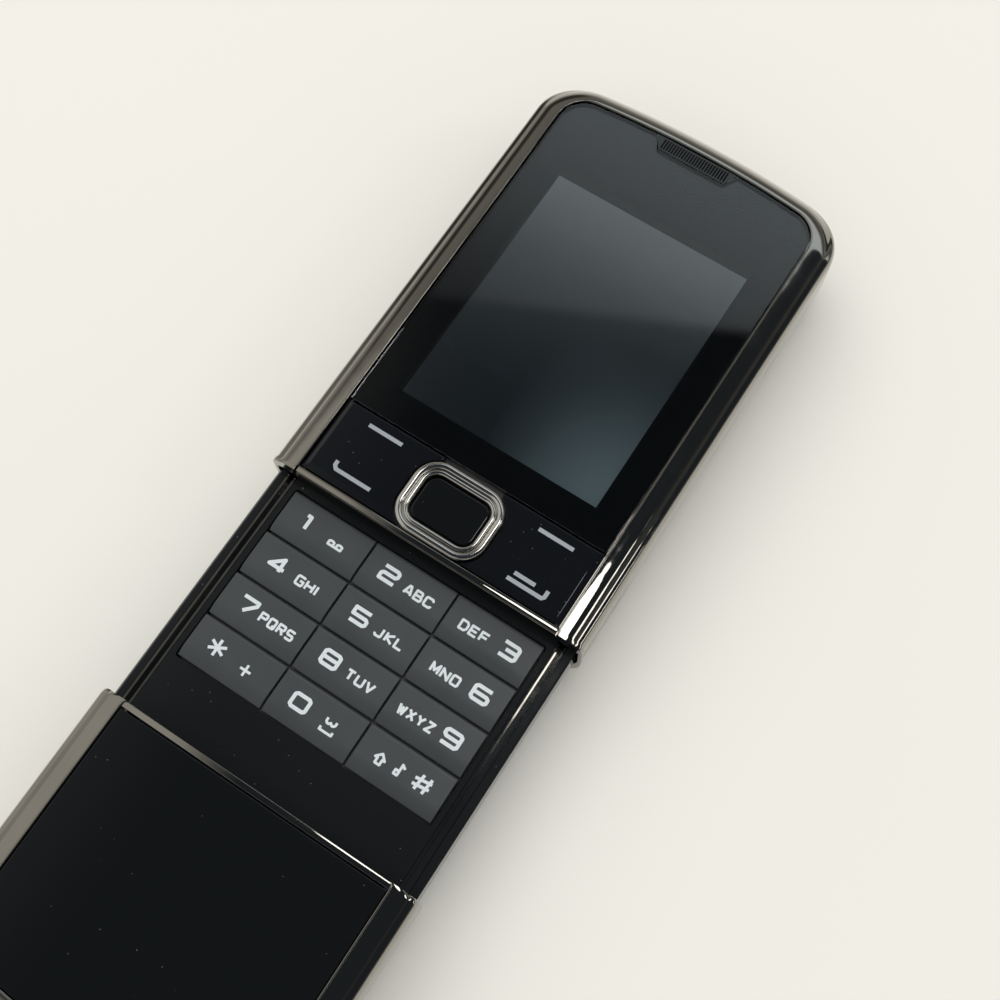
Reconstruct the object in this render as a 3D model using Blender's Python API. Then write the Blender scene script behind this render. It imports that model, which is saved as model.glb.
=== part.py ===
# Slider phone, lying on its back and slid open.
# Metres. X runs across the phone, +Y towards the earpiece and +Z out of the front.
# Y is zero halfway along the open phone, and Z is zero on the surface it lies on.

import math

import bmesh
import bpy
from mathutils import Matrix, Vector

# Clearances
SEAT_GAP = 0.00015
SLIDE_CLEARANCE = 0.0003
BODY_CLEARANCE = 0.0003
RUNNER_CLEARANCE = 0.00015
KEY_GAP = 0.0003
BAY_CLEARANCE = 0.0003
CUT_OVERRUN = 0.0010

# Walls
SLEEVE_WALL = 0.00045
BACK_PLATE = 0.0008
CHASSIS_PLATE = 0.0005
INNER_WALL = 0.0009
LIP_WALL = 0.0008

# The rounded ends, seen from the front
CORNER_RADIUS = 0.008
END_CROWN_RADIUS = 0.160

# The rounded frame of both shells, measured in from the silhouette and down from the front
FRAME_BAND = 0.0038
FRAME_DROP = 0.0046
FRAME_LEDGE = 0.0007
LEDGE_THICKNESS = 0.0006
FRAME_SHARES = (
    (0.00, 1.00), (0.01, 0.62), (0.035, 0.50), (0.09, 0.385), (0.17, 0.29),
    (0.26, 0.215), (0.37, 0.145), (0.49, 0.09), (0.62, 0.045), (0.75, 0.015),
    (0.87, 0.0), (0.96, 0.005), (0.985, 0.02),
)
CHASSIS_INSET_SHARE = 0.33
UNDERSIDE_SHARES = ((0.55, 0.46), (CHASSIS_INSET_SHARE, 0.58), (0.14, 0.72))
LIP_WALL_SHARES = ((0.74, 0.02), (0.51, 0.10), (0.37, 0.20), (0.22, 0.55))
FRAME_RIM_RECESS = 0.00015

# The tuck of the sides towards the back
TUCK = 0.0024
TUCK_HEIGHT = 0.0075
TUCK_POWER = 2.2
BACK_EDGE_ROUND = 0.00025
TUCK_SHARES = (0.0, 0.2, 0.4, 0.6, 0.8, 1.0)

# The mouths of the shells: a small flare on the slider, rounded ears on the lower shell
FLARE = 0.00015
FLARE_LENGTH = 0.0005
FLARE_RAMP = 0.0003
EAR_ROUND = 0.0004
EAR_LENGTH = 0.0009

# The display half
GLASS_THICKNESS = 0.00085
GLASS_RECESS = 0.00015
GLASS_EDGE_BEVEL = 0.0003
DISPLAY_WIDTH = 0.0348
DISPLAY_LENGTH = 0.0460
DISPLAY_THICKNESS = 0.0015
DISPLAY_MARGIN = 0.0020
DISPLAY_SIDE_MARGIN = 0.00175

# The function keys
PAD_ABOVE_RING = 0.0005
PAD_CLEARANCE = 0.0003
PAD_BEVEL = 0.0008
PAD_BEVEL_DROP = 0.0003
PAD_INNER_EDGE = 0.0045
BOARD_THICKNESS = 0.0005
FUNCTION_BOARD_LAP = 0.0008
FUNCTION_MAT = 0.00025

# The navigation ring and centre key
RING_WIDTH = 0.0134
RING_LENGTH = 0.0105
RING_CORNER = 0.0036
RING_BAND = 0.0019
RING_PROUD = 0.0007
RING_CLEARANCE = 0.00025
RING_SHARES = (
    (0.0, 0.0), (0.0, 0.55), (0.10, 0.82), (0.24, 1.0), (0.38, 0.96), (0.50, 0.76),
    (0.60, 0.72), (0.70, 0.90), (0.80, 0.92), (0.92, 0.70), (1.0, 0.35), (1.0, 0.0),
)
CARRIER_THICKNESS = 0.0003
CARRIER_CLEARANCE = 0.0001
CARRIER_BAND_SHARE = 0.9
CENTRE_KEY_TRAVEL = 0.0002

# The earpiece
EARPIECE_LENGTH = 0.0100
EARPIECE_WIDTH = 0.0058
EARPIECE_THICKNESS = 0.0014
SLIDER_END_MARGIN = 0.00225
GRILLE_TOP_WIDTH = 0.0136
GRILLE_BOTTOM_WIDTH = 0.0104
GRILLE_DEPTH = 0.0022
GRILLE_THICKNESS = 0.0007
GRILLE_SLOT_COUNT = 13
GRILLE_SLOT_SHARE = 0.5

# The number keys
KEYPAD_START = 0.00125
KEY_ROW_PITCH = 0.00654
DECK_BAND = 0.00809
MIDDLE_COLUMN = 0.0127
KEY_THICKNESS = 0.0011
KEY_PROUD = 0.00025
KEY_TRAVEL = 0.0003
KEY_CORNER = 0.0004
KEY_SIDE_BEVEL = 0.00012
KEY_CROWN_SHARES = ((0.0, 0.30), (0.05, 0.08), (0.30, 0.0), (0.70, 0.02), (0.90, 0.10), (1.0, 0.42))
KEY_MAT = 0.0003
KEY_NUB_HEIGHT = 0.0002
KEY_NUB_RADIUS = 0.0012
KEYPAD_BOARD = 0.0007

# The deck, the rails and their runners
DECK_THICKNESS = 0.0008
DECK_CHAMFER = 0.0003
DECK_RIM = 0.00125
RAIL_WIDTH = 0.0013
RAIL_DEPTH = 0.0014
RAIL_WALL = 0.0003
RAIL_KEY_MARGIN = 0.00085
RAIL_END_MARGIN = 0.006
RAIL_TUCK = 0.0007
RUNNER_BLADE = 0.0004
RUNNER_STOP = 0.0005
RUNNER_FLANGE = 0.0016
RUNNER_FLANGE_THICKNESS = 0.00035

# Inside the body
MAIN_BOARD_SEAT = 0.0006
MAIN_BOARD_THICKNESS = 0.0008
BOARD_STANDOFF = 0.00115
BOARD_BOSS_CLEARANCE = 0.0004
SHIELD_WIDTH = 0.0240
SHIELD_LENGTH = 0.0220
SHIELD_THICKNESS = 0.0016
POCKET_CORNER = 0.0040
CAMERA_SIZE = 0.0080
CAMERA_OFFSET = 0.0135
CAMERA_BARREL_RADIUS = 0.0030
CAMERA_BARREL_HEIGHT = 0.0010
LENS_RADIUS = 0.0038
LENS_THICKNESS = 0.0006
MOTOR_RADIUS = 0.0017
MOTOR_LENGTH = 0.0070
MOTOR_SHAFT_RADIUS = 0.0004
MOTOR_X = 0.0020
MOTOR_OFFSET = 0.0040
WEIGHT_LENGTH = 0.0022
WEIGHT_CLEARANCE = 0.0003
WEIGHT_BORE_CLEARANCE = 0.00015
BOSS_RADIUS = 0.0017
BOSS_END_MARGIN = 0.0080
BOSS_LOW_MARGIN = 0.0029
SCREW_RADIUS = 0.0005
SCREW_HEAD_RADIUS = 0.0011
SCREW_HEAD_HEIGHT = 0.0007
SCREW_REACH = 0.0026
SCREW_CLEARANCE = 0.0001

# The battery and what lies round it
BATTERY_LENGTH = 0.0275
BATTERY_THICKNESS = 0.0034
BATTERY_CORNER = 0.0008
BAY_WALL = 0.0020
BAY_SIDE_WALL = 0.0025
BAY_ROOF = 0.00065
END_BLOCK = 0.0060
CONTACT_WIDTH = 0.0080
CONTACT_LENGTH = 0.0020
CONTACT_DROP = 0.0011
CONTACT_BLADE = 0.0008
CONTACT_BLADE_REACH = 0.0004
CONTACT_PITCH = 0.0022
SIM_WIDTH = 0.0250
SIM_LENGTH = 0.0150
SIM_THICKNESS = 0.0004
SIM_BORDER = 0.0020
SIM_MARGIN = 0.00625

# The lower front block
CARRIER_INSET = 0.0056
SPEAKER_RADIUS = 0.0065
SPEAKER_SIDE_WALL = 0.0025
SPEAKER_FROM_EDGE = 0.0110
SPEAKER_RIM = 0.0008
SPEAKER_RIM_DROP = 0.0004
MICROPHONE_RADIUS = 0.0020
MICROPHONE_THICKNESS = 0.0014
MICROPHONE_X = 0.0090
SOCKET_WIDTH = 0.0084
SOCKET_HEIGHT = 0.0024
SOCKET_DEPTH = 0.0070
SOCKET_WALL = 0.0003
SOCKET_ROUND = 0.0008

# Fineness of the curved outlines
CORNER_STEPS = 8
CROWN_STEPS = 6
RECT_CORNER_STEPS = 4
RING_CORNER_STEPS = 6
ROUND_STEPS = 24
SMALL_ROUND_STEPS = 12
SMOOTH_ANGLE = math.radians(32)

# Heights, from the table up through the layers
SHELL_BOTTOM = BACK_PLATE + SEAT_GAP
BODY_BOTTOM = BACK_PLATE + BODY_CLEARANCE
BATTERY_BOTTOM = BODY_BOTTOM + SEAT_GAP
BATTERY_TOP = BATTERY_BOTTOM + BATTERY_THICKNESS
SIM_TOP = BATTERY_TOP + SEAT_GAP + SIM_THICKNESS
BAY_CEILING = SIM_TOP + SEAT_GAP
BODY_SPLIT = BAY_CEILING + BAY_ROOF
MAIN_BOARD_LOW = BODY_SPLIT + MAIN_BOARD_SEAT
MAIN_BOARD_TOP = MAIN_BOARD_LOW + MAIN_BOARD_THICKNESS
KEYPAD_BOARD_LOW = MAIN_BOARD_TOP + BOARD_STANDOFF
KEYPAD_BOARD_TOP = KEYPAD_BOARD_LOW + KEYPAD_BOARD
KEY_MAT_TOP = KEYPAD_BOARD_TOP + SEAT_GAP + KEY_MAT
KEY_BOTTOM = KEY_MAT_TOP + KEY_NUB_HEIGHT + SEAT_GAP + KEY_TRAVEL
KEY_TOP = KEY_BOTTOM + KEY_THICKNESS
DECK_HEIGHT = KEY_TOP - KEY_PROUD
DECK_UNDERSIDE = DECK_HEIGHT - DECK_THICKNESS
RAIL_LOW = DECK_HEIGHT - RAIL_DEPTH
CHASSIS_BOTTOM = KEY_TOP + BODY_CLEARANCE
CHASSIS_TOP = CHASSIS_BOTTOM + CHASSIS_PLATE
SLIDER_FLOOR = CHASSIS_TOP + SEAT_GAP
FUNCTION_MAT_LOW = SLIDER_FLOOR + BOARD_THICKNESS + SEAT_GAP
FUNCTION_MAT_TOP = FUNCTION_MAT_LOW + FUNCTION_MAT
PAD_FOOT = FUNCTION_MAT_TOP + PAD_CLEARANCE
CARRIER_LOW = FUNCTION_MAT_TOP + CARRIER_CLEARANCE
CARRIER_TOP = CARRIER_LOW + CARRIER_THICKNESS
RING_FOOT = CARRIER_TOP + SEAT_GAP
CENTRE_KEY_FOOT = FUNCTION_MAT_TOP + CENTRE_KEY_TRAVEL + SEAT_GAP / 3
GLASS_BOTTOM = SLIDER_FLOOR + DISPLAY_THICKNESS + 2 * SEAT_GAP
GLASS_TOP = GLASS_BOTTOM + GLASS_THICKNESS
FRONT = GLASS_TOP + GLASS_RECESS
LEDGE_TOP = GLASS_BOTTOM - SEAT_GAP
MOTOR_HEIGHT = BODY_BOTTOM + INNER_WALL + 2 * SEAT_GAP + MOTOR_RADIUS

# Widths, measured from the middle outwards
BODY_INSET = SLEEVE_WALL + SLIDE_CLEARANCE
HALF_WIDTH = DISPLAY_WIDTH / 2 + DISPLAY_SIDE_MARGIN + FRAME_LEDGE + FRAME_BAND
FRAME_OPENING = HALF_WIDTH - FRAME_BAND
GLASS_HALF_WIDTH = FRAME_OPENING - SEAT_GAP
LEDGE_HALF_WIDTH = FRAME_OPENING - FRAME_LEDGE
RAIL_X = HALF_WIDTH - BODY_INSET - DECK_RIM - RAIL_WIDTH / 2
POCKET_HALF_WIDTH = RAIL_X - RAIL_WIDTH / 2 - RAIL_KEY_MARGIN
KEYPAD_HALF_WIDTH = POCKET_HALF_WIDTH - KEY_GAP / 3
TRAY_HALF_WIDTH = HALF_WIDTH - TUCK - BODY_INSET - INNER_WALL
BOSS_X = TRAY_HALF_WIDTH - BOSS_RADIUS - 2 * SEAT_GAP
BOARD_HALF_WIDTH = BOSS_X - BOSS_RADIUS - BOARD_BOSS_CLEARANCE
BAY_HALF_WIDTH = HALF_WIDTH - TUCK - BODY_INSET - BAY_SIDE_WALL
BATTERY_HALF_WIDTH = BAY_HALF_WIDTH - BAY_CLEARANCE
SPEAKER_X = HALF_WIDTH - CARRIER_INSET - SPEAKER_SIDE_WALL - SPEAKER_RADIUS

# Lengths of the three stretches that show when the phone is open, and how far it slides
LIP_REACH = LIP_WALL + 2 * SEAT_GAP
PAD_LENGTH = RING_LENGTH + PAD_ABOVE_RING
PADS_REACH = LIP_REACH + PAD_LENGTH + SEAT_GAP
DISPLAY_REACH = DISPLAY_MARGIN + DISPLAY_LENGTH + 2 * SEAT_GAP
SLIDER_END = EARPIECE_WIDTH + SLIDER_END_MARGIN + FRAME_BAND
SLIDER_LENGTH = PADS_REACH + DISPLAY_REACH + SLIDER_END
KEYPAD_LENGTH = 4 * KEY_ROW_PITCH
DECK_LENGTH = KEYPAD_START + KEYPAD_LENGTH + DECK_BAND
BAY_LENGTH = CONTACT_LENGTH + BATTERY_LENGTH + 3 * BAY_CLEARANCE
LOWER_LENGTH = BAY_WALL + BAY_LENGTH + END_BLOCK
TRAVEL = DECK_LENGTH - SEAT_GAP

# Places along the phone
TOP_END = (SLIDER_LENGTH + DECK_LENGTH + LOWER_LENGTH) / 2
BASE_END = -TOP_END
SLIDER_EDGE = TOP_END - SLIDER_LENGTH
BASE_EDGE = SLIDER_EDGE - DECK_LENGTH
BODY_TOP_END = TOP_END - TRAVEL - BODY_INSET
RAIL_START = BASE_EDGE - RAIL_TUCK
RAIL_END = BODY_TOP_END - RAIL_END_MARGIN
RUNNER_START = SLIDER_EDGE + LIP_REACH
RUNNER_END = RAIL_END - RUNNER_STOP
KEYPAD_TOP_EDGE = SLIDER_EDGE - KEYPAD_START
KEYPAD_BOTTOM_EDGE = KEYPAD_TOP_EDGE - KEYPAD_LENGTH
KEYPAD_CENTRE = (0.0, (KEYPAD_TOP_EDGE + KEYPAD_BOTTOM_EDGE) / 2)
PAD_BOTTOM_EDGE = SLIDER_EDGE + LIP_REACH
PAD_TOP_EDGE = PAD_BOTTOM_EDGE + PAD_LENGTH
WINDOW_EDGE = PAD_TOP_EDGE + SEAT_GAP
PANEL_EDGE = BASE_EDGE - LIP_REACH
RING_Y = PAD_BOTTOM_EDGE - SEAT_GAP + RING_LENGTH / 2
BAY_TOP_EDGE = BASE_EDGE - BAY_WALL
BAY_BOTTOM_EDGE = BAY_TOP_EDGE - BAY_LENGTH
BOSS_TOP_Y = BODY_TOP_END - BOSS_END_MARGIN
BOSS_LOW_Y = BASE_EDGE + BOSS_LOW_MARGIN


# Helpers

def remove_everything():
    for old in list(bpy.data.objects):
        bpy.data.objects.remove(old, do_unlink=True)


def material(name, colour, roughness, metallic=0.0):
    found = bpy.data.materials.get(name)
    if found:
        return found
    made = bpy.data.materials.new(name)
    made.use_nodes = True
    shader = made.node_tree.nodes["Principled BSDF"]
    shader.inputs["Base Color"].default_value = (*colour, 1.0)
    shader.inputs["Roughness"].default_value = roughness
    shader.inputs["Metallic"].default_value = metallic
    made.diffuse_color = (*colour, 1.0)
    return made


def gunmetal():
    return material("gunmetal_chrome", (0.20, 0.19, 0.17), 0.10, 1.0)


def black_glass():
    return material("black_glass", (0.010, 0.011, 0.013), 0.06)


def gloss_black():
    return material("gloss_black_plastic", (0.012, 0.013, 0.014), 0.12)


def key_plastic():
    return material("dark_key_plastic", (0.055, 0.062, 0.066), 0.38)


def steel():
    return material("bright_steel", (0.55, 0.54, 0.52), 0.22, 1.0)


def rubber():
    return material("grey_rubber", (0.12, 0.12, 0.12), 0.80)


def circuit_board():
    return material("circuit_board", (0.02, 0.12, 0.06), 0.45)


def dark_plastic():
    return material("dark_structural_plastic", (0.03, 0.03, 0.03), 0.55)


def add_mesh_object(name, mesh_builder, surface):
    """Makes a named object from a bmesh, with faces outwards and smooth round stretches."""
    bmesh.ops.recalc_face_normals(mesh_builder, faces=mesh_builder.faces)
    mesh = bpy.data.meshes.new(name)
    mesh_builder.to_mesh(mesh)
    mesh_builder.free()
    mesh.materials.append(surface)
    mesh.shade_smooth()
    mesh.set_sharp_from_angle(angle=SMOOTH_ANGLE)
    made = bpy.data.objects.new(name, mesh)
    bpy.context.scene.collection.objects.link(made)
    return made


def loft(name, rings, surface, closed=False):
    """Skins a row of equal rings; the first and last are capped unless the row closes on itself."""
    builder = bmesh.new()
    made = [[builder.verts.new(point) for point in ring] for ring in rings]
    count = len(made[0])
    rows = len(made)
    for row in range(rows if closed else rows - 1):
        this_ring = made[row]
        next_ring = made[(row + 1) % rows]
        for i in range(count):
            j = (i + 1) % count
            builder.faces.new((this_ring[i], this_ring[j], next_ring[j], next_ring[i]))
    if not closed:
        builder.faces.new(made[0])
        builder.faces.new(made[-1])
    return add_mesh_object(name, builder, surface)


def prism(name, outline, low, high, surface):
    """Raises a flat outline in X and Y into a solid between two heights."""
    rings = [[Vector((x, y, height)) for x, y in outline] for height in (low, high)]
    return loft(name, rings, surface)


def layered(name, layers, surface):
    """Skins outlines that lie at rising heights: each layer is (outline, height)."""
    rings = [[Vector((x, y, height)) for x, y in outline] for outline, height in layers]
    return loft(name, rings, surface)


def rounded_rectangle(centre, width, length, radius, steps=RECT_CORNER_STEPS):
    """The outline of a rectangle in X and Y with round corners."""
    cx, cy = centre
    outline = []
    corners = ((1, 1, 0.0), (-1, 1, 90.0), (-1, -1, 180.0), (1, -1, 270.0))
    for side_x, side_y, start in corners:
        mid_x = cx + side_x * (width / 2 - radius)
        mid_y = cy + side_y * (length / 2 - radius)
        for step in range(steps + 1):
            angle = math.radians(start + 90.0 * step / steps)
            outline.append((mid_x + radius * math.cos(angle), mid_y + radius * math.sin(angle)))
    return outline


def box(name, low, high, surface):
    outline = [(low[0], low[1]), (high[0], low[1]), (high[0], high[1]), (low[0], high[1])]
    return prism(name, outline, low[2], high[2], surface)


def circle(centre, radius, steps):
    cx, cy = centre
    angles = [2 * math.pi * step / steps for step in range(steps)]
    return [(cx + radius * math.cos(angle), cy + radius * math.sin(angle)) for angle in angles]


def turned(name, centre, profile, surface, steps=ROUND_STEPS):
    """A round piece on an upright axis: the profile lists (radius, height) from low to high."""
    return layered(name, [(circle(centre, radius, steps), height) for radius, height in profile], surface)


def turned_along_x(name, centre, profile, surface, steps=SMALL_ROUND_STEPS):
    """A round piece on an axis along X: the profile lists (radius, x)."""
    cy, cz = centre
    rings = []
    for radius, x in profile:
        rings.append([Vector((x, cy + y, cz + z)) for y, z in circle((0, 0), radius, steps)])
    return loft(name, rings, surface)


def shape_with(target, tool, operation):
    """Cuts a tool out of a piece, or joins it on, and keeps the tool out of sight."""
    change = target.modifiers.new(operation.lower() + "_" + tool.name, "BOOLEAN")
    change.operation = operation
    change.solver = "EXACT"
    change.object = tool
    tool.hide_render = True
    tool.display_type = "WIRE"
    tool.parent = target


def cut(target, tool):
    shape_with(target, tool, "DIFFERENCE")


def fuse(target, tool):
    shape_with(target, tool, "UNION")


def soften(target, width, segments=1):
    edge = target.modifiers.new("soft_edges", "BEVEL")
    edge.width = width
    edge.segments = segments
    edge.limit_method = "ANGLE"
    edge.angle_limit = SMOOTH_ANGLE


def set_origin(piece, place):
    """Puts a piece's origin on its joint's axis, and leaves its shape and its cutters in place."""
    shift = Vector(place)
    piece.data.transform(Matrix.Translation(-shift))
    piece.location = shift
    for tool in piece.children:
        tool.location -= shift


def carry(name, place, pieces):
    """Parents the pieces of one moving half to an empty on the axis of its slide."""
    mover = bpy.data.objects.new(name, None)
    mover.empty_display_type = "SINGLE_ARROW"
    mover.location = place
    bpy.context.scene.collection.objects.link(mover)
    for piece in pieces:
        piece.parent = mover
        piece.location -= mover.location


def side_inset(height):
    """How far the side lies in from the silhouette at a height, where it tucks under to the back."""
    below = max(0.0, TUCK_HEIGHT - height) / TUCK_HEIGHT
    return TUCK * below ** TUCK_POWER


def end_arcs(tip_y):
    """Points and outward normals round one rounded end of the phone, from -X to +X."""
    facing = 1 if tip_y > 0 else -1
    corner_x = HALF_WIDTH - CORNER_RADIUS
    reach = END_CROWN_RADIUS - CORNER_RADIUS
    rise = math.sqrt(reach ** 2 - corner_x ** 2)
    lean = math.atan2(corner_x, rise)
    crown_y = abs(tip_y) - END_CROWN_RADIUS
    corner_y = crown_y + rise
    arcs = []
    for step in range(CORNER_STEPS + 1):
        angle = math.pi - (math.pi / 2 - lean) * step / CORNER_STEPS
        arcs.append((-corner_x, corner_y, CORNER_RADIUS, angle))
    for step in range(1, CROWN_STEPS):
        angle = math.pi / 2 + lean - 2 * lean * step / CROWN_STEPS
        arcs.append((0.0, crown_y, END_CROWN_RADIUS, angle))
    for step in range(CORNER_STEPS + 1):
        angle = math.pi / 2 - lean - (math.pi / 2 - lean) * step / CORNER_STEPS
        arcs.append((corner_x, corner_y, CORNER_RADIUS, angle))
    stations = []
    for centre_x, centre_y, radius, angle in arcs:
        normal = Vector((math.cos(angle), facing * math.sin(angle)))
        point = Vector((centre_x, facing * centre_y)) + radius * normal
        stations.append((point, normal))
    return stations


def half_outline(tip_y, edge_y, inset):
    """The closed outline of one half: a rounded end and a straight edge across the phone."""
    arcs = [point - inset * normal for point, normal in end_arcs(tip_y)]
    side_x = HALF_WIDTH - inset
    return [(-side_x, edge_y)] + [(point.x, point.y) for point in arcs] + [(side_x, edge_y)]


def whole_outline(inset):
    """The closed outline of the inner body, round at both ends, in place as the phone lies open."""
    top = [point - inset * normal for point, normal in end_arcs(TOP_END)]
    bottom = [point - inset * normal for point, normal in end_arcs(BASE_END)]
    outline = [(point.x, point.y - TRAVEL) for point in top]
    return outline + [(point.x, point.y) for point in reversed(bottom)]


def shell_profile():
    """The wall section of a shell, from the back, over the bead and down inside.

    Each point is (inset, height, pull), where pull says how far it follows a flare at the mouth."""
    outer = []
    for share in TUCK_SHARES:
        height = SHELL_BOTTOM + share * (TUCK_HEIGHT - SHELL_BOTTOM)
        outer.append((side_inset(height), height, 1))
    for across, down in FRAME_SHARES:
        outer.append((across * FRAME_BAND, FRONT - down * FRAME_DROP, 1 - across))
    inner = [
        (FRAME_BAND, FRONT - FRAME_RIM_RECESS, 0),
        (FRAME_BAND, LEDGE_TOP, 0),
        (FRAME_BAND + FRAME_LEDGE, LEDGE_TOP, 0),
        (FRAME_BAND + FRAME_LEDGE, LEDGE_TOP - LEDGE_THICKNESS, 0),
    ]
    for across, down in UNDERSIDE_SHARES:
        inner.append((across * FRAME_BAND, FRONT - down * FRAME_DROP, 0))
    for share in reversed(TUCK_SHARES):
        height = SHELL_BOTTOM + share * (TUCK_HEIGHT - SHELL_BOTTOM)
        inner.append((side_inset(height) + SLEEVE_WALL, height, 0))
    return outer + inner


def shell(name, tip_y, edge_y, mouth):
    """Sweeps the wall section up one side, round the end and down the other side."""
    facing = 1 if tip_y > edge_y else -1
    lead = [(Vector((-HALF_WIDTH, edge_y + facing * run)), Vector((-1, 0)), spread) for run, spread in mouth]
    tail = [(Vector((HALF_WIDTH, edge_y + facing * run)), Vector((1, 0)), spread) for run, spread in mouth]
    middle = [(point, normal, 0.0) for point, normal in end_arcs(tip_y)]
    section = shell_profile()
    rings = []
    for point, normal, spread in lead + middle + list(reversed(tail)):
        ring = []
        for inset, height, pull in section:
            place = point - (inset - spread * pull) * normal
            ring.append(Vector((place.x, place.y, height)))
        rings.append(ring)
    return loft(name, rings, gunmetal())


def lip_wall(name, edge_y, facing, low):
    """The wall across a shell's mouth, under its bead, which makes the thin lip."""
    middle = [(FRAME_BAND, GLASS_TOP)]
    for across, down in LIP_WALL_SHARES:
        middle.append((across * FRAME_BAND, FRONT - down * FRAME_DROP - SLEEVE_WALL / 2))
    middle.append((SLEEVE_WALL, low))
    half = [(HALF_WIDTH - inset, height) for inset, height in middle]
    section = half + [(-x, height) for x, height in reversed(half)]
    start = edge_y + facing * SEAT_GAP / 3
    end = edge_y + facing * (LIP_WALL + SEAT_GAP / 3)
    rings = [[Vector((x, y, height)) for x, height in section] for y in (start, end)]
    return loft(name, rings, gunmetal())


def back_plate(name, tip_y, edge_y):
    """A plate that closes a half's back and carries the tuck of the sides on down."""
    layers = []
    lowest = half_outline(tip_y, edge_y, side_inset(0.0) + BACK_EDGE_ROUND)
    layers.append((lowest, 0.0))
    layers.append((half_outline(tip_y, edge_y, side_inset(BACK_EDGE_ROUND)), BACK_EDGE_ROUND))
    layers.append((half_outline(tip_y, edge_y, side_inset(BACK_PLATE)), BACK_PLATE))
    return layered(name, layers, gunmetal())


# The shells and the covers

def slider_shell():
    mouth = ((0.0, FLARE), (FLARE_LENGTH, FLARE), (FLARE_LENGTH + FLARE_RAMP, 0.0))
    made = shell("slider_shell", TOP_END, SLIDER_EDGE, mouth)
    fuse(made, lip_wall("slider_lip_wall", SLIDER_EDGE, 1, CHASSIS_BOTTOM))
    return made


def lower_shell():
    mouth = ((0.0, -EAR_ROUND), (EAR_LENGTH / 3, -EAR_ROUND / 4), (EAR_LENGTH, 0.0))
    made = shell("lower_shell", BASE_END, BASE_EDGE, mouth)
    fuse(made, lip_wall("lower_lip_wall", BASE_EDGE, -1, DECK_HEIGHT + SEAT_GAP))
    cut(made, socket_cut("socket_mouth_cut", 0.0))
    return made


def lower_panel():
    inset = FRAME_BAND + SEAT_GAP
    outline = half_outline(BASE_END, PANEL_EDGE, inset)
    made = prism("lower_panel", outline, GLASS_BOTTOM, GLASS_TOP, black_glass())
    soften(made, GLASS_EDGE_BEVEL / 2)
    return made


def battery_cover():
    made = back_plate("battery_cover", BASE_END, BASE_EDGE)
    set_origin(made, (0.0, BASE_EDGE, 0.0))
    return made


def slider_back():
    return back_plate("slider_back", TOP_END, SLIDER_EDGE)


# The display half

def runner_slot(side):
    rail_x = side * RAIL_X
    half = RUNNER_BLADE / 2 + RUNNER_CLEARANCE
    low = (rail_x - half, RUNNER_START - RUNNER_CLEARANCE, CHASSIS_BOTTOM - CUT_OVERRUN)
    high = (rail_x + half, RUNNER_END + RUNNER_CLEARANCE, CHASSIS_TOP + CUT_OVERRUN)
    return box("runner_slot_cut_%s" % ("left" if side < 0 else "right"), low, high, steel())


def slider_chassis():
    inset = CHASSIS_INSET_SHARE * FRAME_BAND + SEAT_GAP
    start = SLIDER_EDGE + LIP_WALL + SEAT_GAP
    made = prism("slider_chassis", half_outline(TOP_END, start, inset), CHASSIS_BOTTOM, CHASSIS_TOP, steel())
    for side in (-1, 1):
        cut(made, runner_slot(side))
    return made


def runner(name, side):
    """A folded steel strip: a flange on the chassis and a blade that hangs into the rail."""
    half = RUNNER_BLADE / 2
    inner = RAIL_X - RUNNER_FLANGE
    top = SLIDER_FLOOR + RUNNER_FLANGE_THICKNESS
    blade_low = RAIL_LOW + RAIL_WALL + RUNNER_CLEARANCE
    section = [
        (RAIL_X + half, blade_low), (RAIL_X + half, top), (inner, top),
        (inner, SLIDER_FLOOR), (RAIL_X - half, SLIDER_FLOOR), (RAIL_X - half, blade_low),
    ]
    rings = [[Vector((side * x, y, z)) for x, z in section] for y in (RUNNER_START, RUNNER_END)]
    return loft(name, rings, steel())


def grille_outline(grow):
    """The trapezium that the earpiece takes out of the glass, grown all round by a gap."""
    top_y = TOP_END - FRAME_BAND - SEAT_GAP + grow
    bottom_y = top_y - GRILLE_DEPTH - 2 * grow
    half_top = GRILLE_TOP_WIDTH / 2 + grow
    half_bottom = GRILLE_BOTTOM_WIDTH / 2 + grow
    return [(-half_bottom, bottom_y), (half_bottom, bottom_y), (half_top, top_y), (-half_top, top_y)]


def display_window():
    inset = FRAME_BAND + SEAT_GAP
    glass = half_outline(TOP_END, WINDOW_EDGE, inset)
    chamfered = half_outline(TOP_END, WINDOW_EDGE + GLASS_EDGE_BEVEL, inset)
    layers = [(glass, GLASS_BOTTOM), (glass, GLASS_TOP - GLASS_EDGE_BEVEL / 2), (chamfered, GLASS_TOP)]
    made = layered("display_window", layers, black_glass())
    notch = grille_outline(SEAT_GAP)
    below = GLASS_BOTTOM - CUT_OVERRUN
    cut(made, prism("grille_notch_cut", notch, below, GLASS_TOP + CUT_OVERRUN, black_glass()))
    return made


def earpiece_grille():
    top = GLASS_TOP - GLASS_RECESS
    made = prism("earpiece_grille", grille_outline(0.0), top - GRILLE_THICKNESS, top, gloss_black())
    middle_y = TOP_END - FRAME_BAND - SEAT_GAP - GRILLE_DEPTH / 2
    pitch = GRILLE_BOTTOM_WIDTH / GRILLE_SLOT_COUNT
    half = pitch * GRILLE_SLOT_SHARE / 2
    reach = GRILLE_DEPTH / 2 - 2 * SEAT_GAP
    for index in range(GRILLE_SLOT_COUNT):
        x = (index - (GRILLE_SLOT_COUNT - 1) / 2) * pitch
        low = (x - half, middle_y - reach, top - GRILLE_THICKNESS - CUT_OVERRUN)
        high = (x + half, middle_y + reach, top + CUT_OVERRUN)
        cut(made, box("grille_slot_cut_%02d" % (index + 1), low, high, gloss_black()))
    return made


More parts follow.
